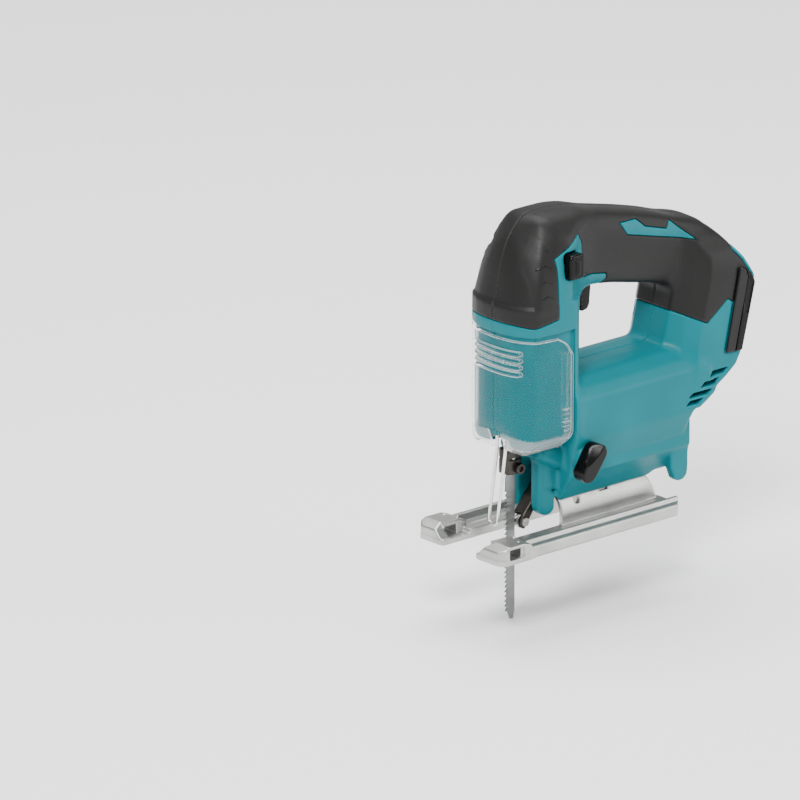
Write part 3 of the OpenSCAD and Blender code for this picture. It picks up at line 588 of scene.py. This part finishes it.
PAD_BAND = [(140, 89), (147.8, 89), (158.2, 136), (155, 145), (150, 145)]
VENTS = [(109.6, 64.4, 20), (111.6, 68.9, 24), (120.6, 73.9, 13), (127.6, 78.9, 13)]
COVER_SIDE = [(-30, 50), (11.5, 50), (17.5, 61), (20.5, 69), (20.5, 117), (15.5, 124.5),
              (9, 128.8), (-30, 130)]
TOE_SHELF = [(-16, 13), (-16, 38), (-40, 38), (-43.7, 34)] \
    + arc((-38.7, 16), 5, 180, 235, 5) + [(-37, 8.8), (-29, 8.8), (-24, 11)]
TOE_BLOCK = [(-43.7, 15.8), (-43.7, 34), (-40, 38), (-19, 38), (-19, 20.5), (-36.8, 20.5),
             (-36.8, 15.8)]
RAIL_SECTION = [(13, 0), (36.5, 0), (38, 1.5), (38, 7.2), (37.2, 8), (33.4, 8.2), (32.8, 7.2),
                (32.2, 7.2), (31.4, 10), (29.4, 10), (28.6, 6), (13, 6)]
TRIGGER_SIDE = arc(TRIGGER, 4.2, 10, 170, 10) + [
    (45.4, 151), (44.2, 145), (44.1, 138), (44.8, 133.6), (46.4, 132), (50.6, 132.8),
    (52.2, 135.5), (53.6, 150), (53.3, 158)]


def column_field(g):
    """The front column, under the head."""
    sides = smooth_max(g.side(COLUMN_SIDE, 1.2), g.plan(COLUMN_PLAN, 1.3), 2.5)
    return smooth_max(sides, g.section(COLUMN_SECTION, 1.0), 2.5)


def rear_width(g):
    """Distance outside the flared flank of the rear, whose creases lean forward downwards."""
    along = (g.X - 0.22 * (g.Z - 110)).astype(np.float32)
    u, w = zip(*REAR_PLAN)
    return 0.9 * (np.abs(g.Y) - np.interp(along, u, w).astype(np.float32))


def head_field(g):
    """The bulbous head: its plan shrinks towards the crown, at the front and the flanks."""
    blur = np.exp(-0.5 * (np.arange(-10, 11) * g.step / 2.2) ** 2)
    front, flank = (np.convolve(np.pad(np.interp(g.z, *zip(*line)), 10, "edge"),
                                blur / blur.sum(), "valid") for line in (HEAD_FRONT, HEAD_FLANK))
    lean = smooth_step((30 - g.X) / 34)
    rows = g.X - front[None, None, :] * lean
    columns = np.abs(g.Y) + flank[None, None, :] * lean
    outline = soften(outline_distance(HEAD_PLAN, g.x, g.y), 2.2 / g.step)
    shrunk = g.warp(outline, *np.broadcast_arrays(rows, -columns)).astype(np.float32)
    steep = np.sqrt(sum(d ** 2 for d in np.gradient(shrunk, g.step)))
    shrunk = shrunk / np.maximum(steep, 1)
    head = smooth_max(shrunk, g.section(HEAD_SECTION, 2.0), 3.0)
    return smooth_max(head, g.side(HEAD_SIDE, 2.0), 3.0)


def handle_field(g):
    """The round grip, which slopes down to the rear."""
    slope = math.radians(12.2)
    along = (g.X - 70) * math.cos(slope) - (g.Z - 167) * math.sin(slope)
    up = (g.X - 70) * math.sin(slope) + (g.Z - 167) * math.cos(slope)
    grip = ((np.abs(g.Y) / 17.0) ** 2.6 + (np.abs(up) / 25.7) ** 2.6) ** (1 / 2.6) - 1
    handle = smooth_max(grip * 18.0, g.side(HANDLE_SIDE, 2.5), 4.0)
    return np.maximum(handle, np.abs(along - 20) - 62)


def housing_field(g):
    """The outer form of both housing halves, rubber and cover included."""
    share = smooth_step((g.X - 30) / 28)
    top = head_field(g) * (1 - share) + handle_field(g) * share
    rear = smooth_max(smooth_max(g.side(REAR_SIDE, 0.7), rear_width(g), 1.2),
                      g.section(REAR_SECTION, 1.6), 2.5)
    bulge = smooth_max(g.side(BULGE_SIDE, 1.5), g.section(BULGE_SECTION, 1.3), 3.0)
    lower = smooth_max(g.side(LOWER_SIDE, 1.0), g.section(LOWER_SECTION, 0.8), 2.0)
    form = smooth_min(column_field(g), top, 1.0)
    form = smooth_min(form, smooth_min(rear, bulge, 5.0), 6.0)
    form = smooth_min(form, lower, 1.5)
    return smooth_max(form, -seat_field(g), 0.8)


def seat_field(g):
    """The round seat under the housing, in which the hump of the sole tilts."""
    seat = g.rod("x", (0, TILT_Z), SADDLE_R + CLEARANCE)
    return np.maximum(seat, np.maximum(20 - g.X, g.X - 98))


def lock_field(g, grow=0.0):
    """The rounded outline of the lock button, endless along Y."""
    corner = 3 + grow
    dx = np.maximum(np.abs(g.X - LOCK[0]) - 3, 0)
    dz = np.maximum(np.abs(g.Z - LOCK[1]) - 5, 0)
    return np.sqrt(dx ** 2 + dz ** 2) - corner


def vents(g):
    """Four slanted slots through the rear flank, inside its outline."""
    cut = 1e3
    for x, z, length in VENTS:
        outline = [(x, z), (x + length, z), (x + length + 3.4, z + 2.8), (x + 3.4, z + 2.8)]
        cut = np.minimum(cut, g.side(outline))
    edge = np.minimum(g.side(REAR_SIDE), g.side(BULGE_SIDE)) + 2.6
    return np.maximum(np.maximum(cut, edge), 18 - np.abs(g.Y))


def add_trim(g, shell, left):
    """Slots, holes, seams and lugs of one shell half."""
    side_y = np.abs(g.Y)
    chin = smooth_max(g.side(CHIN_SIDE, 1.6), side_y - 19.5, 5.0)
    horn = smooth_max(g.side(HORN_SIDE, 0.6), np.abs(side_y - 9.2) - 4.2, 2.4)
    root = smooth_max(g.side([(12, 30), (24, 27.5), (30, 27.5), (30, 57), (12, 57)], 1.0),
                      np.abs(side_y - 9.4) - 4.5, 2.4)
    horn = smooth_min(horn, root, 1.5)
    lug = smooth_max(g.side(LUG_SIDE, 0.8), np.abs(side_y - 21) - 3, 1.5)
    shell = smooth_min(shell, smooth_min(chin, horn, 2.5), 3.0)
    shell = smooth_min(shell, lug, 1.5)
    if left:
        boss = smooth_max(g.rod("y", KNOB, 9.5), np.maximum(-31 - g.Y, g.Y + 20), 1.0)
        shell = smooth_min(shell, boss, 1.0)
        shell = np.maximum(shell, -np.maximum(g.rod("y", KNOB, 6), np.maximum(-32 - g.Y, g.Y + 8)))
    cuts = [g.block((-12.3, -8.8, 45), (4, 8.8, 67.5)),
            g.block((18.4, -6, 26), (27.5, 6 if left else 13, 62)),
            np.maximum(g.side(TRIGGER_SLOT), side_y - 9.4),
            np.maximum(g.side(REAR_CHANNEL), side_y - 22),
            np.maximum(g.side(RAIL_SLOT), side_y - 26),
            g.block((5, -5.2, 10), (25, 5.2, 41)),
            np.maximum(lock_field(g, CLEARANCE), 10 - side_y),
            np.maximum(g.rod("y", PIVOT, 2.5), side_y - 12),
            seat_field(g),
            vents(g)]
    for cut in cuts:
        shell = smooth_max(shell, -cut, 0.6)
    if not left:
        for x, z in SCREWS:
            pocket = np.maximum(g.rod("y", (x, z), SCREW_POCKET), 8 - side_y)
            shell = smooth_max(shell, -pocket, 0.5)
    return shell


def skin_relief(g):
    """How far the rubber is pressed in on the grip panel of the head, in mm."""
    flank = np.clip((np.abs(g.Y) - 12) / 6, 0, 1)
    panel = g.side([(-8, 140.5), (9, 143), (9.2, 180), (2, 192), (-9, 176)], 0.8)
    return 0.22 * np.clip(-panel / 0.8, 0, 1) * flank


def chevrons():
    """Four raised chevrons on each grip panel."""
    g = Grid((-21, -43, 150), (10, -22, 190), 0.36 * FINE)
    form = housing_field(g)
    marks = 1e3
    aside = np.abs(g.X - 1)
    for level in (184, 174, 165, 156):
        rise = np.abs(g.Z - level + 0.45 * aside) - 0.55
        marks = np.minimum(marks, np.maximum(rise, aside - 5))
    marks = smooth_max(np.maximum(form - 0.05, -form - 1.2), marks, 0.2)
    for name, flip in HALVES:
        solid(name + "_chevrons", g, marks, "black_plastic", "housing", [name + "_grip"], 0.5,
              flip)


def housing():
    """Both housing halves and the rubber skins over them."""
    g = Grid((-22, -42, 8), (170, 1.6, 205), 0.85 * FINE)
    form = housing_field(g)
    rubber_zone = smooth_max(g.side(HEAD_RUBBER, 0.4), -g.side(HANDLE_INLAY, 0.3), 0.4)
    fin = np.minimum(g.side(REAR_SIDE) + 2.6, g.X - 150.5)
    rubber_zone = smooth_max(rubber_zone, fin, 0.4)
    cover_zone = np.maximum(g.X - 21.5 - CLEARANCE, g.Z - 131.5 - CLEARANCE)
    skin = smooth_max(form + skin_relief(g), -(form + SKIN), 0.5)
    skin = smooth_max(skin, rubber_zone, 1.0)
    skin = smooth_max(skin, -lock_field(g, CLEARANCE), 0.5)
    skin = smooth_max(skin, -np.maximum(g.side(TRIGGER_SLOT), np.abs(g.Y) - 9.4), 0.5)
    skin = smooth_max(skin, -np.maximum(g.side(REAR_CHANNEL), np.abs(g.Y) - 22), 0.5)
    pad = np.maximum(g.side(PAD_SIDE, 0.4), 29.6 - np.abs(g.Y))
    skin = smooth_max(skin, -(pad - 0.3), 0.4)
    under_skin = np.maximum(rubber_zone - 0.25, -(form + SKIN + 0.05))
    under_cover = np.maximum(cover_zone, -(form + SKIN + CLEARANCE))
    shell = smooth_max(form, -under_skin, 0.4)
    shell = smooth_max(shell, -under_cover, 0.6)
    shell = smooth_max(shell, -(pad - 0.2), 0.4)
    shell = np.maximum(shell, -(form + WALL))
    seam = g.Y + 0.06
    for name, flip in HALVES:
        half = smooth_max(add_trim(g, shell, not flip), seam, 0.5)
        solid(name + "_shell", g, half, "teal_shell", "housing", [name + "_housing"], 0.45, flip)
        grip = skin
        if flip:
            for x, z in SCREWS:
                grip = smooth_max(grip, -g.rod("y", (x, z), SCREW_POCKET), 0.5)
        solid(name + "_rubber", g, smooth_max(grip, seam, 0.5), "grip_rubber", "housing",
              [name + "_grip"], 0.45, flip)


def rear_pads():
    """The black pads at the rear end, each with a rubber band along it."""
    g = Grid((138, -35, 88), (166, -28, 147), 0.5 * FINE)
    plate = smooth_max(g.side(PAD_SIDE, 0.4), np.maximum(-32.6 - g.Y, g.Y + 29.8), 0.6)
    band = g.side(PAD_BAND, 0.2)
    window = g.side([(154.2, 113), (157.4, 113), (161.6, 131), (159, 136.5), (156.8, 136.5)], 0.3)
    black = smooth_max(plate, 0.15 - band, 0.4)
    black = smooth_max(black, -np.maximum(window, g.Y + 32.0), 0.3)
    grey = smooth_max(smooth_max(plate + 0.35, band + 0.15, 0.5), -32.1 - g.Y, 0.3)
    for name, flip in HALVES:
        solid(name + "_pad", g, black, "black_plastic", "housing", [name + "_rear_pad"], 0.5,
              flip)
        solid(name + "_pad_band", g, grey, "grip_rubber", "housing", [name + "_rear_pad"], 0.5,
              flip)


def cover_lines(g, outline):
    """Where the cover is thickened and whitened as a painted highlight: rim, slots, window and
    grip ribs, from 0 to 1.
    """
    on_flank = np.abs(g.Y) > 21
    lines = np.exp(-((outline + 0.7) / 0.35) ** 2)
    slots = 1e3
    for z in (108.6, 112.8, 117, 121.2):
        long = np.maximum(np.abs(g.Y) - 19, 0)
        slots = np.minimum(slots, np.sqrt(long ** 2 + (g.Z - z) ** 2) - 1.1)
    slots = np.maximum(slots, g.X + 7)
    lines = np.maximum(lines, np.exp(-((slots - 0.35) / 0.3) ** 2))
    window = smooth_max(np.maximum(g.X - 12.5, 62 - g.Z), g.Z - 120.5, 4.0)
    window = np.exp(-(window / 0.3) ** 2) * on_flank * (g.Z > 72) * 0.4
    lines = np.maximum(lines, window)
    rails = 0.8 * np.exp(-((np.abs(g.X - 16.6) - 1.5) / 0.3) ** 2) * (g.Z > 68) * (g.Z < 119)
    lines = np.maximum(lines, rails * on_flank)
    ribs = 0.5 + 0.5 * np.cos(2 * math.pi * g.Z / 2.6)
    ribs = 0.8 * ribs ** 6 * (g.Z > 62) * (g.Z < 84) * (g.X > 12.6) * (g.X < 19.2)
    lines = np.maximum(lines, ribs * on_flank)
    return lines, slots


def dust_cover():
    """The clear cover round the front of the column, whitened along its lines as a painted
    highlight and frosted on its foot.
    """
    g = Grid((-22, -33, 52), (24, 33, 134), 0.6 * FINE)
    column = column_field(g)
    outline = g.side(COVER_SIDE, 0.8)
    lines, slots = cover_lines(g, outline)
    cover = smooth_max(column - 0.3 * lines, -(column + SKIN), 0.4)
    cover = smooth_max(cover, outline, 0.8)
    cover = smooth_max(cover, -g.block((-9.5, -20.4, 45), (24, 20.4, 60)), 0.6)
    cover = smooth_max(cover, -g.block((-30, -5.6, 45), (0, 5.6, 70)), 0.6)
    cover = smooth_max(cover, -slots, 0.4)
    piece = solid("clear_cover", g, cover, "clear_plastic", "dust_cover", ["dust_cover"], 0.6)
    # The foot is frosted; the lines carry painted highlights.
    foot = np.clip((70.5 - 0.1 * np.abs(g.Y) - g.Z) / 0.5, 0, 1) * 0.45
    frost_and_highlight = g.full(np.maximum(lines, foot))
    verts = np.empty(3 * len(piece.data.vertices))
    piece.data.vertices.foreach_get("co", verts)
    values = g.sample(frost_and_highlight, verts.reshape(-1, 3) / MM)
    piece.data.attributes.new("frost_and_highlight", "FLOAT", "POINT").data.foreach_set("value", values)


def toe_field(g):
    """A toe of the sole: a low shelf by the fork and a high block with the guide slot."""
    side_y = np.abs(g.Y)
    shelf_z = 1.8
    toe = smooth_max(g.plan(left_half(TOE_SHELF), 0.7, True),
                     np.abs(g.Z - shelf_z) - shelf_z, 1.0)
    tower = g.plan(left_half(TOE_BLOCK), 0.6, True)
    slope = 0.7 * (15.9 - side_y + g.Z - 3.4)
    back = (g.Z - 11.4) + 0.32 * np.maximum(g.X + 25, 0)
    front = (g.Z - 9.0) - 0.42 * (g.X + 42.5)
    tower = smooth_max(tower, np.maximum(back, np.maximum(front, g.Z - 11.4)), 0.9)
    tower = smooth_max(tower, np.where(g.X < -36.8, slope, -9).astype(np.float32), 0.8)
    toe = smooth_min(toe, np.maximum(tower, -g.Z), 0.9)
    slot = g.block((-36.6, -60, 3.4), (-27.5, 60, 8.9))
    recess = smooth_max(g.block((-37.0, -60, 3.0), (-25.6, 60, 9.3)), 36.8 - side_y, 0.3)
    toe = smooth_max(toe, -np.minimum(slot, recess), 0.4)
    knobs = np.minimum(np.hypot(g.X + 26, side_y - 33), np.hypot(g.X + 22.5, side_y - 25)) - 0.9
    return smooth_min(toe, smooth_max(np.maximum(knobs, 5 - g.Z), g.Z - 11.9, 0.4), 0.4)


def base_plate():
    """The cast sole: two rails, two toes with guide slots and the tilting hump."""
    g = Grid((-50, -40, -1.5), (105, 40, 30), 0.62 * FINE)
    side_y = np.abs(g.Y)
    rail = smooth_max(g.section([(-u, v) for u, v in RAIL_SECTION][::-1], 0.3, True),
                      np.maximum(-22 - g.X, g.X - SOLE_REAR), 0.8)
    rear = smooth_max(g.block((90, -29, 0), (SOLE_REAR, 29, 6)), g.Z - 6, 0.6)
    hump = np.maximum(g.rod("x", (0, TILT_Z), SADDLE_R), np.maximum(FORK_BACK - g.X, -g.Z))
    hump = smooth_max(hump, g.side([(20, -2), (101, -2), (99, 6), (89, 30), (20, 30)], 0.5), 0.8)
    plate = smooth_min(smooth_min(toe_field(g), rail, 0.8), smooth_min(rear, hump, 1.6), 1.0)
    inner_r = SADDLE_R - HUMP_WALL
    plate = smooth_max(plate, -np.maximum(g.rod("x", (0, TILT_Z), inner_r), g.X - TUNNEL_X), 0.5)
    plate = smooth_max(plate, -g.block((-60, -inner_r, -2), (TUNNEL_X, inner_r, TILT_Z)), 0.5)
    fork = np.maximum(side_y - 13, g.X - FORK_BACK)
    lips = np.maximum(side_y - 8.6, g.X + 22)
    plate = smooth_max(plate, -np.maximum(fork, -22 - g.X), 0.8)
    plate = smooth_max(plate, -lips, 0.6)
    angle = np.degrees(np.arctan2(g.Y, g.Z - TILT_Z))
    slot = np.maximum(np.abs(g.X - 58) - 3.1, np.abs(angle) - 58)
    plate = smooth_max(plate, -np.maximum(slot, 8 - np.sqrt(g.Y ** 2 + (g.Z - TILT_Z) ** 2)), 0.4)
    plate = smooth_max(plate, -np.maximum(g.rod("y", (36, 19), 2.2), g.Y + 5), 0.3)
    channel = np.exp(-((side_y - 22) / 0.5) ** 2) * (g.X > -14) * (g.X < 100) * (g.Z > 4)
    plate = plate + 0.4 * channel
    corner = (g.X - SOLE_REAR + side_y - SOLE_W + 6.4) / math.sqrt(2)
    plate = smooth_max(plate, corner, 0.8)
    plate = smooth_max(plate, -g.Z, 0.4)
    solid("sole", g, plate, "cast_alloy", "base", ["base_plate"], 0.4)


def knob():
    """The orbit knob: a slanted bean with a curved ridge and a scooped flank."""
    g = Grid((12, -42.5, 28), (52, -29, 70), 0.45 * FINE)
    middle_x, middle_z, turn = 28, 49.8, math.radians(34)
    x, z = g.X - middle_x, g.Z - middle_z
    along = x * math.sin(turn) + z * math.cos(turn)
    across = x * math.cos(turn) - z * math.sin(turn)
    bean = np.hypot(np.maximum(np.abs(along + 0.5) - 6.6, 0), across) - 5.8
    depth = g.Y + FLANK_Y
    disc = smooth_max(g.rod("y", KNOB, 7), np.maximum(-depth - 2.4, depth), 0.8)
    fold = across + 2.88 - 0.453 * along + 0.0197 * along ** 2
    crown = -depth - 10.2 + np.where(fold > 0, 0.1 * fold, -1.1 * fold)
    body = smooth_max(bean, np.maximum(crown.astype(np.float32), depth), 1.0)
    solid("knob", g, smooth_min(body, disc, 0.8), "black_plastic", "orbit_knob",
          ["orbit_knob"], 0.5)


def lock_button():
    """The button through the head that locks the trigger."""
    g = Grid((12, -36.5, 160), (29, 30, 182), 0.5 * FINE)
    outline = lock_field(g)
    bar = np.maximum(np.abs(g.X - LOCK[0]) - 4, np.abs(g.Z - LOCK[1]) - 5)
    button = smooth_max(outline + 0.3, np.maximum(-32.8 - g.Y, g.Y + 20), 1.6)
    ridge = np.hypot(g.X - LOCK[0], np.maximum(np.abs(g.Z - LOCK[1]) - 3, 0)) - 1.7
    button = smooth_min(button, smooth_max(ridge, np.maximum(-33.9 - g.Y, g.Y + 30), 0.9), 0.4)
    tail = smooth_max(outline, np.maximum(20 - g.Y, g.Y - 28.5), 1.0)
    middle = np.maximum(bar, np.abs(g.Y) - 20.5)
    solid("lock_off", g, np.minimum(np.minimum(button, tail), middle), "black_plastic",
          "lock_button", ["lock_button"], 0.5)


def trigger():
    """The ribbed trigger under the handle."""
    g = Grid((42, -10, 130), (56, 10, 171), 0.5 * FINE)
    lever = smooth_max(g.side(TRIGGER_SIDE, 0.5), np.abs(g.Y) - 8.6, 1.6)
    for z in (136, 139, 142, 145):
        lever = lever + 0.25 * np.exp(-((g.Z - z) / 0.5) ** 2) * (g.X < 47)
    lever = np.maximum(lever, -g.rod("y", TRIGGER, 2.04))
    solid("trigger_lever", g, lever, "black_plastic", "trigger", ["trigger"], 0.5)


def blade():
    """The saw blade, with teeth set to both sides."""
    bm = bmesh.new()
    top, reach, pitch, count = 30.0, 51.0, 3.0, 25
    rows = [(50, -6.4, -0.6, 0), (40, -6.4, -0.6, 0), (38, -7, 0, 0), (top + 1, -7, 0, 0)]
    for i in range(count):
        z = top - i * pitch
        lean = 0.3 if i % 2 else -0.3
        rows += [(z, -7.6, 0, lean), (z - 0.35 * pitch, -5.7, 0, 0),
                 (z - 0.62 * pitch, -5.9, 0, 0), (z - 0.9 * pitch, -6.9, 0, 0)]
    z = top - count * pitch
    rows += [(z, -7, 0, 0), (-reach + 5, -5.1, 0, 0), (-reach + 0.4, -3.2, -1.2, 0)]
    rings = []
    for z, front, back, lean in rows:
        root = min(front + 1.6, back - 0.2)
        rings.append([bm.verts.new(point) for point in (
            (front, lean - 0.45, z), (root, -BLADE_HALF, z), (back, -BLADE_HALF, z),
            (back, BLADE_HALF, z), (root, BLADE_HALF, z), (front, lean + 0.45, z))])
    for one, two in zip(rings, rings[1:]):
        for i in range(6):
            bm.faces.new((one[i], one[(i + 1) % 6], two[(i + 1) % 6], two[i]))
    bm.faces.new(rings[0])
    bm.faces.new(rings[-1])
    from_bmesh("blade", bm, "blade_steel", "plunger", ["saw_blade"], 0)


def blade_clamp():
    """The blade's holder and the screw that clamps the blade in it."""
    g = Grid((-11, -7, 39), (5, 7, 60), 0.4 * FINE)
    holder = smooth_max(g.block((-8.5, -5, 41), (2, 5, 57)), g.Z - 57, 1.2)
    holder = smooth_max(holder, np.abs(g.Y) + 0.25 * np.abs(g.X + 3.2) - 5.9, 1.0)
    waist = np.maximum(np.abs(g.Z - 50.5) - 0.5, 3.9 - np.abs(g.Y))
    holder = smooth_max(holder, -waist, 0.5)
    holder = np.maximum(holder, -g.block((-7, -BLADE_HALF, 38), (0, BLADE_HALF, 50)))
    holder = np.maximum(holder, -np.maximum(g.rod("z", (-3.5, 0), 4.0), 50 - g.Z))
    solid("holder", g, holder, "dark_steel", "plunger", ["blade_holder"], 0.5)

    bm = bmesh.new()
    x, z = CLAMP_BOLT
    lathe(bm, [(-0.6, 1.8), (-5, 1.8), (-5, 3.2), (-8.2, 3.2), (-8.2, 1.71), (-6.2, 1.7)],
          (x, 0, z), 1.705)
    from_bmesh("clamp_screw", bm, "dark_steel", "plunger", ["clamp_bolt"], BEVEL)


def roller_lever():
    """The lever that carries the guide roller behind the blade."""
    g = Grid((-1, -7, 1), (28, 14, 38), 0.45 * FINE)
    width = np.abs(g.Y) - 4.6
    lever = smooth_max(g.rod("y", PIVOT, 5.2), width, 0.8)
    low = g.side([(11.5, 23), (12, 15.5), (4.5, 4.6), (1.8, 6), (1.4, 10), (3.2, 13.6)], 0.5)
    arm = g.side([(11.5, 23), (17.8, 17), (22.2, 28.8), (25, 32), (21, 35)], 0.5)
    lever = smooth_min(lever, smooth_max(smooth_min(low, arm, 1.0), width, 0.8), 1.0)
    bar = np.maximum(g.rod("y", (23, 33.4), 2.5), np.maximum(-4.6 - g.Y, g.Y - 12))
    lever = smooth_min(lever, bar, 0.6)
    lever = np.maximum(lever, -g.rod("y", PIVOT, 2.54))
    cheek = np.maximum(g.rod("y", ROLLER, 4.7), np.abs(g.Y) - 2.9)
    mouth = g.block((-3, -2.9, 0), (ROLLER[0], 2.9, 14))
    lever = smooth_max(lever, -np.minimum(cheek, mouth), 0.3)
    lever = np.maximum(lever, -g.rod("y", ROLLER, 1.5))
    lever = np.maximum(lever, 1.2 - g.X)
    solid("roller_arm", g, lever, "dark_steel", "lever", ["roller_lever"], 0.5)


def wire_guard():
    """The bent wire in front of the blade: down one leg, round the end and back up."""
    top_x, half, bend_z, foot_z = -10.2, 3.7, 57, 15
    leg = [(top_x, half, 90), (top_x, half, 57.6)]
    for t in np.linspace(0.02, 0.98, 6):
        leg.append((top_x - 6.2 * t, half, bend_z - (bend_z - foot_z) * t))
    end = [(-16.35, half * math.cos(a), 14.2 - 2.7 * math.sin(a))
           for a in np.radians(np.linspace(0, 180, 13))]
    other = [(x, -y, z) for x, y, z in leg][::-1]
    tube("guard", leg + end + other, 1.0, "bright_steel", "housing", ["wire_guard"])


def tube(name, route, radius, slot, body, nodes):
    """A round wire along a smooth route, in millimetres."""
    curve = bpy.data.curves.new(name, "CURVE")
    curve.dimensions = "3D"
    curve.bevel_depth = radius * MM
    curve.bevel_resolution = 5
    curve.use_fill_caps = True
    line = curve.splines.new("POLY")
    line.points.add(len(route) - 1)
    for point, place in zip(line.points, route):
        point.co = (*[c * MM for c in place], 1)
    made = bpy.data.objects.new(name, curve)
    bpy.context.collection.objects.link(made)
    graph = bpy.context.evaluated_depsgraph_get()
    mesh = bpy.data.meshes.new_from_object(made.evaluated_get(graph))
    bpy.data.objects.remove(made)
    piece = bpy.data.objects.new(name, mesh)
    bpy.context.collection.objects.link(piece)
    for face in mesh.polygons:
        face.use_smooth = True
    return adopt(piece, slot, body, nodes)


def dress_nodes():
    """Materials for the CAD nodes that stay, by the record's slots."""
    for part in frame["record"]["subparts"]:
        node = frame["nodes"][part["node"]]
        if not node.hide_render:
            node.data.materials.clear()
            node.data.materials.append(PAINTS[part["material_slot"]].material)


# ---- camera, floor and light ----

def place_camera():
    """A long lens at the photograph's angle, the saw right of the middle."""
    azimuth = math.radians(AZIMUTH)
    elevation = math.radians(ELEVATION)
    to_right = Vector((math.cos(azimuth), math.sin(azimuth), 0))
    forward = Vector((-math.sin(azimuth) * math.cos(elevation),
                      math.cos(azimuth) * math.cos(elevation), -math.sin(elevation)))
    up = to_right.cross(forward)
    right_shift, up_shift = ((c - IMAGE_SIZE / 2) * METRES_PER_PIXEL for c in ORIGIN_PIXEL)
    data = bpy.data.cameras.new("camera")
    data.sensor_width = SENSOR
    data.lens = DISTANCE / METRES_PER_PIXEL / IMAGE_SIZE * SENSOR
    data.clip_end = 40
    camera = bpy.data.objects.new("camera", data)
    camera.matrix_world = Matrix((to_right, up, -forward)).transposed().to_4x4()
    camera.location = -forward * DISTANCE - to_right * right_shift + up * up_shift
    bpy.context.collection.objects.link(camera)
    bpy.context.scene.camera = camera


def lay_floor():
    """A plain pale floor just under the blade's tip."""
    floor_z = cad_box[0][2] - 0.001
    bpy.ops.mesh.primitive_plane_add(size=30, location=(0, 0, floor_z))
    floor = bpy.context.object
    floor.name = "floor"
    paper = Paint("floor_paper", (0.93, 0.93, 0.93), 0.9)
    paper.bump(paper.noise(200, 3), 0.02)
    floor.data.materials.append(paper.material)


def place_lights():
    """Soft lights aimed at the saw, and an even sky."""
    target = Vector((0.06, 0, 0.09))
    for name, place, size, power in LIGHTS:
        light = bpy.data.lights.new(name, "AREA")
        light.size = size
        light.energy = power
        lamp = bpy.data.objects.new(name, light)
        lamp.location = place
        aim = target - Vector(place)
        lamp.rotation_euler = aim.to_track_quat("-Z", "Y").to_euler()
        bpy.context.collection.objects.link(lamp)
    world = bpy.data.worlds.new("sky")
    world.use_nodes = True
    background = world.node_tree.nodes["Background"]
    background.inputs["Color"].default_value = (1, 1, 1, 1)
    background.inputs["Strength"].default_value = 0.6
    bpy.context.scene.world = world


PAINTS = make_materials()
place_camera()
lay_floor()
place_lights()
housing()
rear_pads()
chevrons()
dust_cover()
base_plate()
knob()
lock_button()
trigger()
blade()
blade_clamp()
roller_lever()
wire_guard()
dress_nodes()
